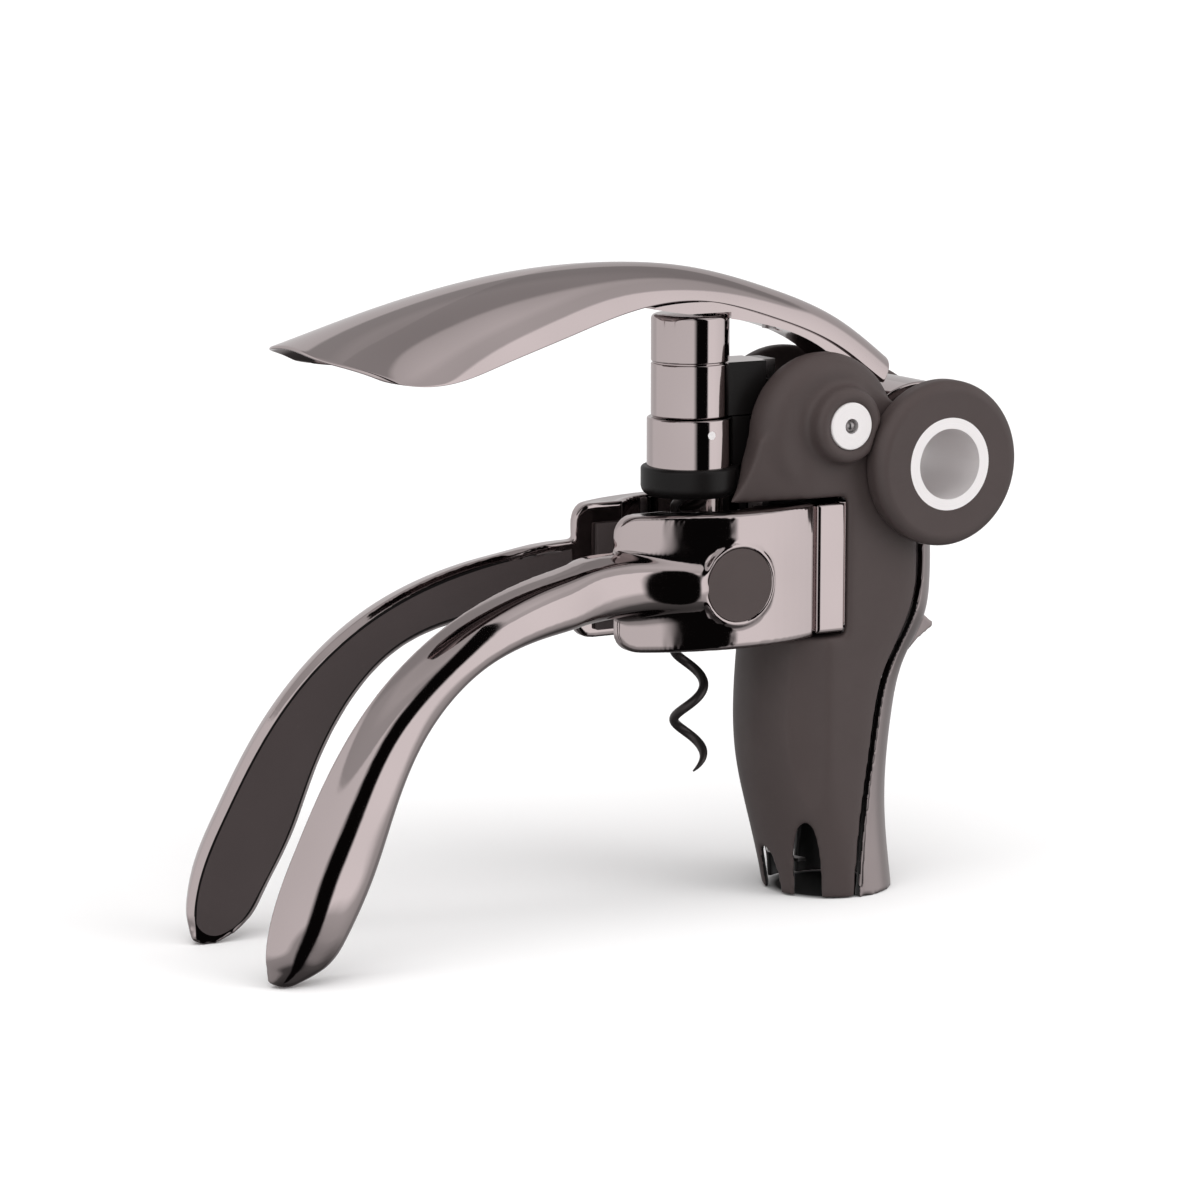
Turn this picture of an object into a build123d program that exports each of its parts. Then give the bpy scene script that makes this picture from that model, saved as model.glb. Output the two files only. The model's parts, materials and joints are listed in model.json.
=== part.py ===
from build123d import *
import os
from math import acos, cos, degrees, pi, radians, sin, sqrt, tan

# Lever corkscrew standing on its cup and its two handle tips, in millimetres.
# The floor is z = 0, the lever and handles point to -X, and right means -Y.
os.makedirs("parts", exist_ok=True)

# Worm: a round wire wound on a right-hand helix
worm_pitch = 18.0
worm_wire = 2.4
worm_helix_radius = 3.75
worm_tip_z = 35.0
worm_tip_length = 5.0
spindle_radius = 5.4
spindle_flange_radius = 8.0
spindle_flange = 1.9

# Sleeves on the worm axis, from the bottom up
stop_bottom_z = 105.0
stop_radius = 12.3
stop_height = 7.5
nut_radius = 10.8
nut_height = 12.2
carriage_radius = 9.8
carriage_height = 13.3
cap_height = 11.8
sleeve_gap = 0.3
worm_bore_radius = 5.7
nut_pin_radius = 1.05
nut_pin_below_top = 3.7
sleeve_arm_half = 6.0

# Hub of the lever
hub_offset = 61.9
hub_z = 111.3
tube_bore_radius = 9.0
tube_radius = 10.8
flange_radius = 11.76
flange_thickness = 1.8
hub_half_width = 24.1
ring_radius = 21.1
ring_inner_face = 16.8
drum_radius = 19.5
drum_half = 10.4

# Sector gear and rack
gear_module = 2.0
gear_teeth = 37
pressure_angle = 20.0
sector_teeth = 10
sector_half = 3.0
sector_inner_radius = 13.0
backlash = 0.24
rack_half = 3.9
rack_back = 3.0
rack_low_z = 44.0
rack_teeth_below = 9
rack_teeth_above = 1

# Body halves
shell_half = 16.5
slot_half = 7.5
guide_half = 7.2
guide_slot_half = 4.2
shell_wall = 2.4
cup_wall = 1.6
cup_depth = 30.0
cup_ceiling = 3.2
shelf_low_z = 63.5
window_low_z = 68.3
window_high_z = 103.8
window_edge = 36.6
column_top_z = 106.0
ear_radius = 17.6
bulge_offset = 32.5
bulge_z = 119.5
bulge_radius = 20.5
bulge_round = 6.0
boss_offset = 34.5
boss_z = 122.3
boss_radius = 9.3
boss_face = 21.0
boss_skirt = 2.2
rivet_radius = 5.96
rivet_head = 1.4
rivet_shank_radius = 3.0
rivet_core_radius = 1.6

# Column side view from the worm axis: front edge and rear edge, from below the floor to the hub
column_front = [
    (25.6, -6.0), (24.8, 0.0), (19.5, 22.0), (16.6, 35.0), (16.4, 60.0), (16.4, 112.0),
]
column_rear = [
    (58.9, -6.0), (58.2, 0.0), (55.9, 22.0), (57.6, 45.0),
    (61.0, 58.0), (66.9, 68.5), (68.9, 80.0), (69.1, 112.0),
]
column_flat = 0.25
cup_offset = 41.5
flute_radius = 30.0
flute_depth = 1.1
flute_angle = 68.0

# Seam between the body halves and the foil trigger, from the worm axis
seam_points = [
    (40.2, 0.0), (41.9, 21.0), (44.9, 41.0), (48.8, 58.0), (53.4, 66.5), (57.2, 76.0), (58.0, 90.0),
]
seam_gap_low = 0.9
seam_gap_high = 2.3

# Jaws
jaw_low_z = 69.0
jaw_high_z = 103.0
jaw_front = 27.5
jaw_front_round = 5.0
jaw_edge_round = 1.4
jaw_front_outer = 12.4
jaw_inner = 9.6
jaw_side = 22.6
jaw_rear = 26.0
jaw_rear_outer = 17.4
neck_radius = 15.0
pad_thickness = 1.9
pad_front = 22.0
pad_low_z = 71.0
pad_high_z = 98.0
leaf_front = 27.3
leaf_rear = 35.4
leaf_face = 16.8
leaf_root = 14.2
leaf_inset = 0.6
hinge_offset = 40.0
hinge_y = 10.0
hinge_pin_radius = 1.6
knuckle_radius = 3.3
disc_offset = 1.0
disc_z = 85.3
disc_radius = 9.1
disc_thickness = 1.2
disc_rim = 1.2
disc_face = 23.3

# Handle sections: reach from the worm axis, height, slope, width and depth
handle_tilt = 6.9
handle_squareness = 2.9
handle_root = [(6.0, 85.4, 0.0, 12.0, 6.4, 16.4), (18.0, 85.8, 0.0, 14.6, 10.2, 12.2)]
handle_sections = [
    (28.2, 86.0, -2.0, 15.8, 11.5),
    (52.8, 83.0, -17.0, 14.2, 12.4),
    (76.4, 74.7, -37.0, 12.5, 12.4),
    (93.5, 59.5, -52.0, 15.2, 11.0),
    (104.1, 42.7, -64.0, 18.4, 11.4),
    (110.8, 28.4, -67.0, 20.3, 11.4),
    (117.6, 14.5, -66.0, 19.1, 10.8),
    (120.4, 8.1, -66.0, 16.6, 9.0),
    (123.0, 3.8, -66.0, 11.4, 6.9),
]
handle_tip = (125.0, 0.0, -66.0, 4.6, 3.2)
tip_reach = 128.4
inlay_inset = 2.0
inlay_depth = 1.6

# Lever cover stations: place from the worm axis, height, half width and drop of the arch
lever_stations = [
    (-113.5, 146.6, 23.8, 12.5),
    (-92.0, 153.8, 26.2, 14.7),
    (-68.0, 160.0, 22.2, 17.2),
    (-44.0, 163.6, 17.6, 14.9),
    (-22.0, 164.2, 12.6, 10.9),
    (0.0, 162.0, 10.0, 7.9),
    (22.0, 155.9, 8.8, 7.4),
    (42.0, 147.4, 8.2, 7.4),
    (57.0, 136.6, 8.0, 7.6),
]
lever_wall = 2.0
lever_tip = -109.6
lever_nose = 16.0
lever_nose_half = 26.0
lever_arm_half = 7.0
lever_arm_top = [(-14.0, 153.1), (9.0, 152.9), (34.0, 144.2), (52.5, 128.0)]
lever_arm_under = [(46.0, 127.5), (33.0, 141.4), (8.0, 149.2), (-14.0, 152.6)]
lever_screw_places = [4.0, 24.0]
lever_screw_radius = 1.5
lever_screw_head = 2.7
lever_boss_radius = 3.2

# Foil trigger
trigger_wall = 2.2
trigger_top_z = 89.5
pivot_offset = 46.5
pivot_z = 57.0
pivot_radius = 1.5
lug_radius = 3.2
lug_inner = 9.0
lug_outer = 12.0
tab_z = 66.1
tab_lip = 1.4
tab_reach = 69.4
tab_half = 6.0
spring_z = 84.0
spring_y = 11.5
spring_radius = 2.0
spring_wire = 0.7
spring_turns = 3
spring_seat = 52.0
blade_z = 9.0
blade_thickness = 0.8
blade_width = 5.0
blade_inner = 13.4
blade_outer = 15.6
blade_angle = 24.0

# Fits
running = 0.05
free = 0.3

# Places worked out from the driving sizes
worm_x = (tip_reach - hub_offset - ring_radius) / 2
hub_x = worm_x + hub_offset
boss_x = worm_x + boss_offset
cup_x = worm_x + cup_offset
gear_radius = gear_module * gear_teeth / 2
rack_pitch_x = hub_x - gear_radius
rack_root_x = rack_pitch_x - 1.25 * gear_module
rack_back_x = rack_root_x - rack_back
guide_front_x = rack_back_x - 2 * free
nut_bottom_z = stop_bottom_z + stop_height
nut_top_z = nut_bottom_z + nut_height
carriage_bottom_z = nut_top_z + sleeve_gap
carriage_top_z = carriage_bottom_z + carriage_height
cap_bottom_z = carriage_top_z + sleeve_gap
cap_top_z = cap_bottom_z + cap_height
nut_pin_z = nut_top_z - nut_pin_below_top
cup_ceiling_z = cup_depth + cup_ceiling
jaw_bore_radius = neck_radius + pad_thickness
hub_side = Plane((hub_x, 0, hub_z), x_dir=(1, 0, 0), z_dir=(0, -1, 0))
boss_side = Plane((boss_x, 0, boss_z), x_dir=(1, 0, 0), z_dir=(0, -1, 0))


def write(piece, name):
    piece.part.label = name
    export_step(piece.part, f"parts/{name}.step")


def box_between(x0, x1, y0, y1, z0, z1, mode=Mode.ADD):
    """A block between two corners."""
    with Locations(((x0 + x1) / 2, (y0 + y1) / 2, (z0 + z1) / 2)):
        Box(abs(x1 - x0), abs(y1 - y0), abs(z1 - z0), mode=mode)


def post(radius, x, y, z0, z1, mode=Mode.ADD):
    """An upright cylinder between two heights."""
    with Locations((x, y, z0)):
        Cylinder(radius, z1 - z0, align=(Align.CENTER, Align.CENTER, Align.MIN), mode=mode)


def cross_rod(plane, radius, y0, y1, mode=Mode.ADD):
    """A cylinder across the object, between two distances towards -Y."""
    with Locations(plane.offset(y0)):
        Cylinder(radius, y1 - y0, align=(Align.CENTER, Align.CENTER, Align.MIN), mode=mode)


def side_plane(x, z):
    """A plane facing -Y at a point of the middle plane."""
    return Plane((x, 0, z), x_dir=(1, 0, 0), z_dir=(0, -1, 0))


def column_solid(inset):
    """The column, rounded from side to side and drawn in by a wall."""
    half = shell_half - inset
    with BuildPart() as column:
        with BuildSketch(Plane.XZ):
            with BuildLine():
                front = Spline(*[(worm_x + x + inset, z) for x, z in column_front])
                rear = Spline(*[(worm_x + x - inset, z) for x, z in column_rear])
                Line(front @ 0, rear @ 0)
                Line(front @ 1, rear @ 1)
            make_face()
        extrude(amount=half, both=True)
        uprights = column.edges().filter_by(lambda e: abs(e.center().Y) > 1 and e.bounding_box().size.Z > 50)
        fillet(uprights, half - column_flat)
    return column.part


def column_slice(inset, z0, z1):
    """A stretch of the drawn-in column between two heights."""
    with BuildPart() as stretch:
        add(column_solid(inset))
        box_between(-200, 200, -60, 60, z0, z1, mode=Mode.INTERSECT)
    return stretch.part


def behind_seam(gap_low, gap_high):
    """All that lies behind the seam line, moved back by a gap that widens upwards."""
    span = seam_points[-1][1] - seam_points[0][1]
    line = [(worm_x + x + gap_low + (gap_high - gap_low) * z / span, z) for x, z in seam_points]
    with BuildPart() as rear:
        with BuildSketch(Plane.XZ):
            with BuildLine():
                edge = Spline(*line)
                Polyline(edge @ 1, (line[-1][0], 200), (200, 200), (200, -20), (line[0][0], -20), edge @ 0)
            make_face()
        extrude(amount=60, both=True)
    return rear.part


def helix_path(frame, radius, pitch, first_angle, first, last):
    """Quarter turns of a right-hand helix about a frame's Z axis, as pairs of tangent arcs."""
    count = round(4 * (last - first) / pitch)
    rise = pitch / (2 * pi)
    places = []
    for index in range(count + 1):
        angle = radians(first_angle + 90 * index)
        outwards = frame.x_dir * cos(angle) + frame.y_dir * sin(angle)
        sideways = frame.y_dir * cos(angle) - frame.x_dir * sin(angle)
        point = frame.origin + outwards * radius + frame.z_dir * (first + index * pitch / 4)
        places.append((point, (sideways * radius + frame.z_dir * rise).normalized()))
    arcs = []
    for (start, start_way), (end, end_way) in zip(places, places[1:]):
        chord = end - start
        ways = start_way + end_way
        square = 4 - ways.dot(ways)
        reach = (-chord.dot(ways) + sqrt(chord.dot(ways) ** 2 + square * chord.dot(chord))) / square
        first_corner = start + start_way * reach
        last_corner = end - end_way * reach
        middle = (first_corner + last_corner) * 0.5
        arcs.append((start, middle, start_way))
        arcs.append((middle, end, last_corner - first_corner))
    return arcs


def least_gap(line, wire, turns):
    """The least clear gap between stretches of a wound wire that are a third of a turn or more apart."""
    count = round(24 * turns)
    points = [line @ (index / count) for index in range(count + 1)]
    pairs = [(i, j) for i in range(count + 1) for j in range(i + 8, count + 1)]
    return min((points[i] - points[j]).length for i, j in pairs) - wire


def crown_height(place):
    """The height of the lever's ridge at a place from the worm axis."""
    for (x0, z0, *_), (x1, z1, *_) in zip(lever_stations, lever_stations[1:]):
        if x0 <= place <= x1:
            return z0 + (z1 - z0) * (place - x0) / (x1 - x0)


def underside(place):
    """About the height of the lever arm's underside at a place from the worm axis."""
    (x0, z0), (x1, z1) = lever_arm_under[2], lever_arm_under[1]
    return z0 + (z1 - z0) * (place - x0) / (x1 - x0) + 1


def handle_plane():
    """The flat inner face of the right handle, with local x towards the column and y up."""
    tilt = radians(handle_tilt)
    return Plane(
        (worm_x - jaw_front, -jaw_inner, 0),
        x_dir=(cos(tilt), sin(tilt), 0),
        z_dir=(sin(tilt), -cos(tilt), 0),
    )


def handle_frame(reach, height, slope, inner=None):
    """The plane of one handle section: local x across the width, y outwards."""
    face = handle_plane()
    along = -(reach - jaw_front) / cos(radians(handle_tilt))
    centre = face.from_local_coords(Vector(along, height, 0))
    if inner is not None:
        centre = Vector(centre.X, -inner, centre.Z)
    way = face.x_dir * -cos(radians(slope)) + Vector(0, 0, sin(radians(slope)))
    return Plane(centre, x_dir=face.z_dir.cross(way), z_dir=way)


def half_oval(frame, width, depth):
    """A D-shaped handle section with full shoulders, flat on the inside."""
    power = 2 / handle_squareness
    round_half = []
    for index in range(9):
        angle = radians(22.5 * index)
        side = 1 if index < 4 else -1
        across = width / 2 * side * abs(cos(angle)) ** power
        round_half.append((0.0 if index == 4 else across, depth * abs(sin(angle)) ** power))
    with BuildSketch(frame) as section:
        with BuildLine():
            Spline(*round_half, tangents=((0, 1), (0, -1)))
            Line((-width / 2, 0), (width / 2, 0))
        make_face()
    return section.sketch.faces()[0]


def inlay_outline():
    """The inlay's leaf outline on the handle's inner face."""
    upper = []
    lower = []
    for reach, height, slope, width, depth in handle_sections:
        along = -(reach - jaw_front) / cos(radians(handle_tilt))
        half = width / 2 - inlay_inset
        across = (sin(radians(slope)) * half, cos(radians(slope)) * half)
        upper.append((along + across[0], height + across[1]))
        lower.append((along - across[0], height - across[1]))
    end_slope = radians(handle_sections[-1][2])
    end = ((upper[-1][0] + lower[-1][0]) / 2, (upper[-1][1] + lower[-1][1]) / 2)
    with BuildSketch(handle_plane()) as leaf:
        with BuildLine():
            top = Spline(*upper)
            under = Spline(*lower)
            ThreePointArc(top @ 1, (end[0] - 1.6 * cos(end_slope), end[1] + 1.6 * sin(end_slope)), under @ 1)
            Line(top @ 0, under @ 0)
        make_face()
    return leaf.sketch


# Nut block: the lower chrome sleeve, with its arm reaching back to the guide
with BuildPart() as nut_block:
    post(nut_radius, worm_x, 0, nut_bottom_z, nut_top_z)
    fillet(nut_block.edges().filter_by(GeomType.CIRCLE).sort_by(Axis.Z)[-1], 0.5)
    box_between(worm_x, guide_front_x, -sleeve_arm_half, sleeve_arm_half, nut_bottom_z, nut_top_z)
    post(worm_bore_radius, worm_x, 0, nut_bottom_z, nut_top_z, mode=Mode.SUBTRACT)
    cross_rod(side_plane(worm_x, nut_pin_z), nut_pin_radius, -nut_radius, nut_radius, mode=Mode.SUBTRACT)
write(nut_block, "nut_block")

# Nut pin: crosses the hollow of the worm, which winds round it
with BuildPart() as nut_pin:
    cross_rod(side_plane(worm_x, nut_pin_z), nut_pin_radius, -nut_radius, nut_radius)
write(nut_pin, "nut_pin")

# Bottle stop: the black ring under the nut block
with BuildPart() as bottle_stop:
    post(stop_radius, worm_x, 0, stop_bottom_z, nut_bottom_z)
    fillet(bottle_stop.edges().filter_by(GeomType.CIRCLE).sort_by(Axis.Z)[0], 2.6)
    fillet(bottle_stop.edges().filter_by(GeomType.CIRCLE).sort_by(Axis.Z)[-1], 0.9)
    post(worm_bore_radius, worm_x, 0, stop_bottom_z, nut_bottom_z, mode=Mode.SUBTRACT)
write(bottle_stop, "bottle_stop")

# Worm: helix, sharpened tip, and the spindle that turns in the carriage
spindle_bottom_z = carriage_bottom_z + 1.5
flange_bottom_z = carriage_top_z - 0.9
slope_share = worm_pitch / sqrt(worm_pitch**2 + (2 * pi * worm_helix_radius) ** 2)
helix_low_z = worm_tip_z + worm_tip_length * slope_share
helix_turns = round(4 * (spindle_bottom_z + 1.5 - helix_low_z) / worm_pitch) / 4
helix_high_z = helix_low_z + helix_turns * worm_pitch
helix_start = 180 - 360 * (nut_pin_z - helix_low_z) / worm_pitch
worm_frame = Plane((worm_x, 0, 0))
worm_arcs = helix_path(worm_frame, worm_helix_radius, worm_pitch, helix_start, helix_low_z, helix_high_z)
with BuildPart() as worm:
    with BuildLine() as worm_line:
        for start, end, way in worm_arcs:
            TangentArc(start, end, tangent=way)
    worm_start = Plane(worm_line.line @ 0, z_dir=worm_line.line % 0)
    with BuildSketch(worm_start):
        Circle(worm_wire / 2)
    sweep(path=worm_line.line)
    with BuildSketch(worm_start):
        Circle(worm_wire / 2)
    with BuildSketch(worm_start.offset(-worm_tip_length)):
        Circle(0.15)
    loft()
    post(spindle_radius, worm_x, 0, spindle_bottom_z, flange_bottom_z)
    post(spindle_flange_radius, worm_x, 0, flange_bottom_z, flange_bottom_z + spindle_flange)
write(worm, "worm")
print("worm least gap", round(least_gap(worm_line.line, worm_wire, helix_turns), 2))

# Rack: the toothed bar behind the carriage, its teeth towards the hub
tooth_half = pi * gear_module / 4 - backlash / 4
flank = tan(radians(pressure_angle))
with BuildPart() as rack:
    box_between(rack_back_x, rack_root_x, -rack_half, rack_half, rack_low_z, carriage_top_z)
    for index in range(-rack_teeth_below, rack_teeth_above + 1):
        middle = hub_z + index * pi * gear_module
        root_half = tooth_half + 1.25 * gear_module * flank
        tip_half = tooth_half - gear_module * flank
        with BuildSketch(Plane.XZ):
            with BuildLine():
                Polyline(
                    (rack_root_x, middle - root_half),
                    (rack_pitch_x + gear_module, middle - tip_half),
                    (rack_pitch_x + gear_module, middle + tip_half),
                    (rack_root_x, middle + root_half),
                    close=True,
                )
            make_face()
        extrude(amount=rack_half, both=True)
    screw_heights = [carriage_bottom_z + 3.5, carriage_top_z - 3.5]
    for height in screw_heights:
        with Locations(Plane((rack_root_x, 0, height), z_dir=(1, 0, 0))):
            CounterBoreHole(1.3, 2.3, 1.4, depth=rack_back + 1)
write(rack, "rack")

# Rack screws
screw_end_x = worm_x + carriage_radius + 4
with BuildPart() as rack_screws:
    for height in screw_heights:
        with BuildSketch(Plane((rack_root_x, 0, height), z_dir=(-1, 0, 0))):
            Circle(2.2)
        extrude(amount=1.4)
        with BuildSketch(Plane((rack_root_x, 0, height), z_dir=(-1, 0, 0))):
            Circle(1.3)
        extrude(amount=rack_root_x - screw_end_x)
write(rack_screws, "rack_screws")

# Carriage: the middle chrome sleeve with the arm that carries the rack
with BuildPart() as carriage:
    post(carriage_radius, worm_x, 0, carriage_bottom_z, carriage_top_z)
    fillet(carriage.edges().filter_by(GeomType.CIRCLE), 0.4)
    arm_rear = guide_front_x - free
    box_between(worm_x, arm_rear, -sleeve_arm_half, sleeve_arm_half, carriage_bottom_z, carriage_top_z)
    box_between(arm_rear, rack_back_x, -rack_half, rack_half, carriage_bottom_z, carriage_top_z)
    post(spindle_radius + running, worm_x, 0, carriage_bottom_z, carriage_top_z, mode=Mode.SUBTRACT)
    post(spindle_flange_radius + free, worm_x, 0, flange_bottom_z - 1.05, carriage_top_z, mode=Mode.SUBTRACT)
    add(rack_screws.part, mode=Mode.SUBTRACT)
write(carriage, "carriage")

# Thrust washer under the spindle's flange
with BuildPart() as thrust_washer:
    post(spindle_flange_radius, worm_x, 0, flange_bottom_z - 1.05, flange_bottom_z - running)
    post(spindle_radius + running, worm_x, 0, flange_bottom_z - 1.05, flange_bottom_z, mode=Mode.SUBTRACT)
write(thrust_washer, "thrust_washer")

# Carriage cap: the top chrome sleeve, hollow over the flange, on a spigot in the carriage
with BuildPart() as carriage_cap:
    post(carriage_radius, worm_x, 0, cap_bottom_z, cap_top_z)
    fillet(carriage_cap.edges().filter_by(GeomType.CIRCLE).sort_by(Axis.Z)[-1], 1.2)
    fillet(carriage_cap.edges().filter_by(GeomType.CIRCLE).sort_by(Axis.Z)[0], 0.4)
    post(carriage_radius - 0.6, worm_x, 0, carriage_top_z, cap_bottom_z + 1)
    post(spindle_flange_radius + free, worm_x, 0, carriage_top_z, cap_top_z - 3, mode=Mode.SUBTRACT)
write(carriage_cap, "carriage_cap")

# Rack guide: two plates joined low down, with ears for the cap rivets
with BuildPart() as rack_guide:
    guide_rear_x = boss_x
    box_between(guide_front_x, guide_rear_x, -guide_half, guide_half, cup_ceiling_z, bulge_z + 14)
    cross_rod(boss_side, boss_radius - 1.5, -guide_half, guide_half)
    slot_rear_x = rack_pitch_x + gear_module + 4 * free
    slot_high = bulge_z + 40
    box_between(
        guide_front_x - 1, slot_rear_x, -guide_slot_half, guide_slot_half,
        rack_low_z - 4, slot_high, mode=Mode.SUBTRACT,
    )
    box_between(
        slot_rear_x - 1, guide_rear_x + 30, -guide_slot_half, guide_slot_half,
        shelf_low_z, slot_high, mode=Mode.SUBTRACT,
    )
    cross_rod(boss_side, rivet_shank_radius, -guide_half, guide_half, mode=Mode.SUBTRACT)
write(rack_guide, "rack_guide")

# Cap rivets: silver discs in the bosses, their shanks in the guide's ears
with BuildPart() as cap_rivets:
    cross_rod(boss_side, rivet_radius, boss_face - rivet_head, boss_face)
    fillet(cap_rivets.edges().filter_by(GeomType.CIRCLE).sort_by(Axis.Y)[0], 0.3)
    cross_rod(boss_side, rivet_shank_radius, guide_slot_half, boss_face - rivet_head)
    cross_rod(boss_side, rivet_core_radius + 0.3, boss_face - 2, boss_face, mode=Mode.SUBTRACT)
    mirror(about=Plane.XZ)
write(cap_rivets, "cap_rivets")

# Rivet cores: domed ends in the middle of the rivets
with BuildPart() as rivet_cores:
    with Locations((boss_x, -boss_face + 2 - rivet_core_radius * 0.2, boss_z)):
        Sphere(rivet_core_radius)
    box_between(0, 200, -boss_face + 2, 0, boss_z - 10, boss_z + 10, mode=Mode.SUBTRACT)
    mirror(about=Plane.XZ)
write(rivet_cores, "rivet_cores")

# Foil blades: two in the front of the cup, one on the trigger
with BuildPart() as front_blades:
    for turn in (180 - blade_angle, 180 + blade_angle):
        with BuildSketch(Plane((cup_x, 0, blade_z))):
            with Locations(Rotation(0, 0, turn)):
                with Locations(((blade_inner + blade_outer) / 2, 0)):
                    Trapezoid(blade_width, blade_outer - blade_inner, 70, rotation=-90)
        extrude(amount=blade_thickness)
write(front_blades, "front_blades")

with BuildPart() as rear_blade:
    with BuildSketch(Plane((cup_x, 0, blade_z))):
        with Locations(((blade_inner + blade_outer) / 2, 0)):
            Trapezoid(blade_width, blade_outer - blade_inner, 70, rotation=-90)
    extrude(amount=blade_thickness)
write(rear_blade, "rear_blade")

# Shell dowels: line up the body halves at the shelf and in the cup's ceiling
dowel_low = side_plane(worm_x + 38, cup_depth + cup_ceiling / 2)
dowel_high = side_plane(worm_x + 49, (shelf_low_z + window_low_z) / 2)
with BuildPart() as shell_dowels:
    cross_rod(dowel_low, 1.0, -9, 9)
    cross_rod(dowel_high, 1.5, -14, 14)
write(shell_dowels, "shell_dowels")

# Jaw hinge pins
hinge_x = worm_x + hinge_offset
with BuildPart() as jaw_hinge_pins:
    post(hinge_pin_radius, hinge_x, -hinge_y, shelf_low_z - 1, window_high_z + 6)
    post(hinge_pin_radius, hinge_x, hinge_y, shelf_low_z - 1, window_high_z + 6)
write(jaw_hinge_pins, "jaw_hinge_pins")

# Foil pivot pin
pivot_side = side_plane(worm_x + pivot_offset, pivot_z)
pivot_half = shell_half - 1.2
with BuildPart() as foil_pivot_pin:
    cross_rod(pivot_side, pivot_radius, -pivot_half, pivot_half)
write(foil_pivot_pin, "foil_pivot_pin")

# Upper side and beak of the right half, narrowing towards the front
with BuildPart() as upper_side:
    with BuildSketch(Plane.XZ.offset(slot_half)):
        with BuildLine():
            ThreePointArc(
                (worm_x + 3.5, window_high_z), (worm_x + 9.3, 112), (worm_x + 11.8, 119.5),
            )
            Polyline(
                (worm_x + 11.8, 119.5), (worm_x + 22, 127), (worm_x + 40, 133), (worm_x + 52, 126),
                (worm_x + 58, 116), (worm_x + 58, 95), (worm_x + window_edge, 95),
                (worm_x + window_edge, window_high_z), (worm_x + 3.5, window_high_z),
            )
        make_face()
    extrude(amount=shell_half - slot_half)
    with BuildSketch(Plane.XY.offset(window_high_z - 20)):
        with BuildLine():
            Polyline(
                (worm_x + 3, -slot_half), (worm_x + 3, -13.4), (worm_x + 27, -shell_half),
                (worm_x + 60, -shell_half), (worm_x + 60, -slot_half), close=True,
            )
        make_face()
    extrude(amount=60, mode=Mode.INTERSECT)

# Bulge and boss of the right half
with BuildPart() as bulge:
    cross_rod(side_plane(worm_x + bulge_offset, bulge_z), bulge_radius, slot_half, shell_half - 0.5)
    fillet(bulge.edges().filter_by(GeomType.CIRCLE).sort_by(Axis.Y)[0], bulge_round)

with BuildPart() as boss:
    with BuildSketch(boss_side.offset(slot_half)):
        Circle(boss_radius + boss_skirt)
    with BuildSketch(boss_side.offset(boss_face)):
        Circle(boss_radius)
    loft()
    fillet(boss.edges().filter_by(GeomType.CIRCLE).sort_by(Axis.Y)[0], 1.6)

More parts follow.
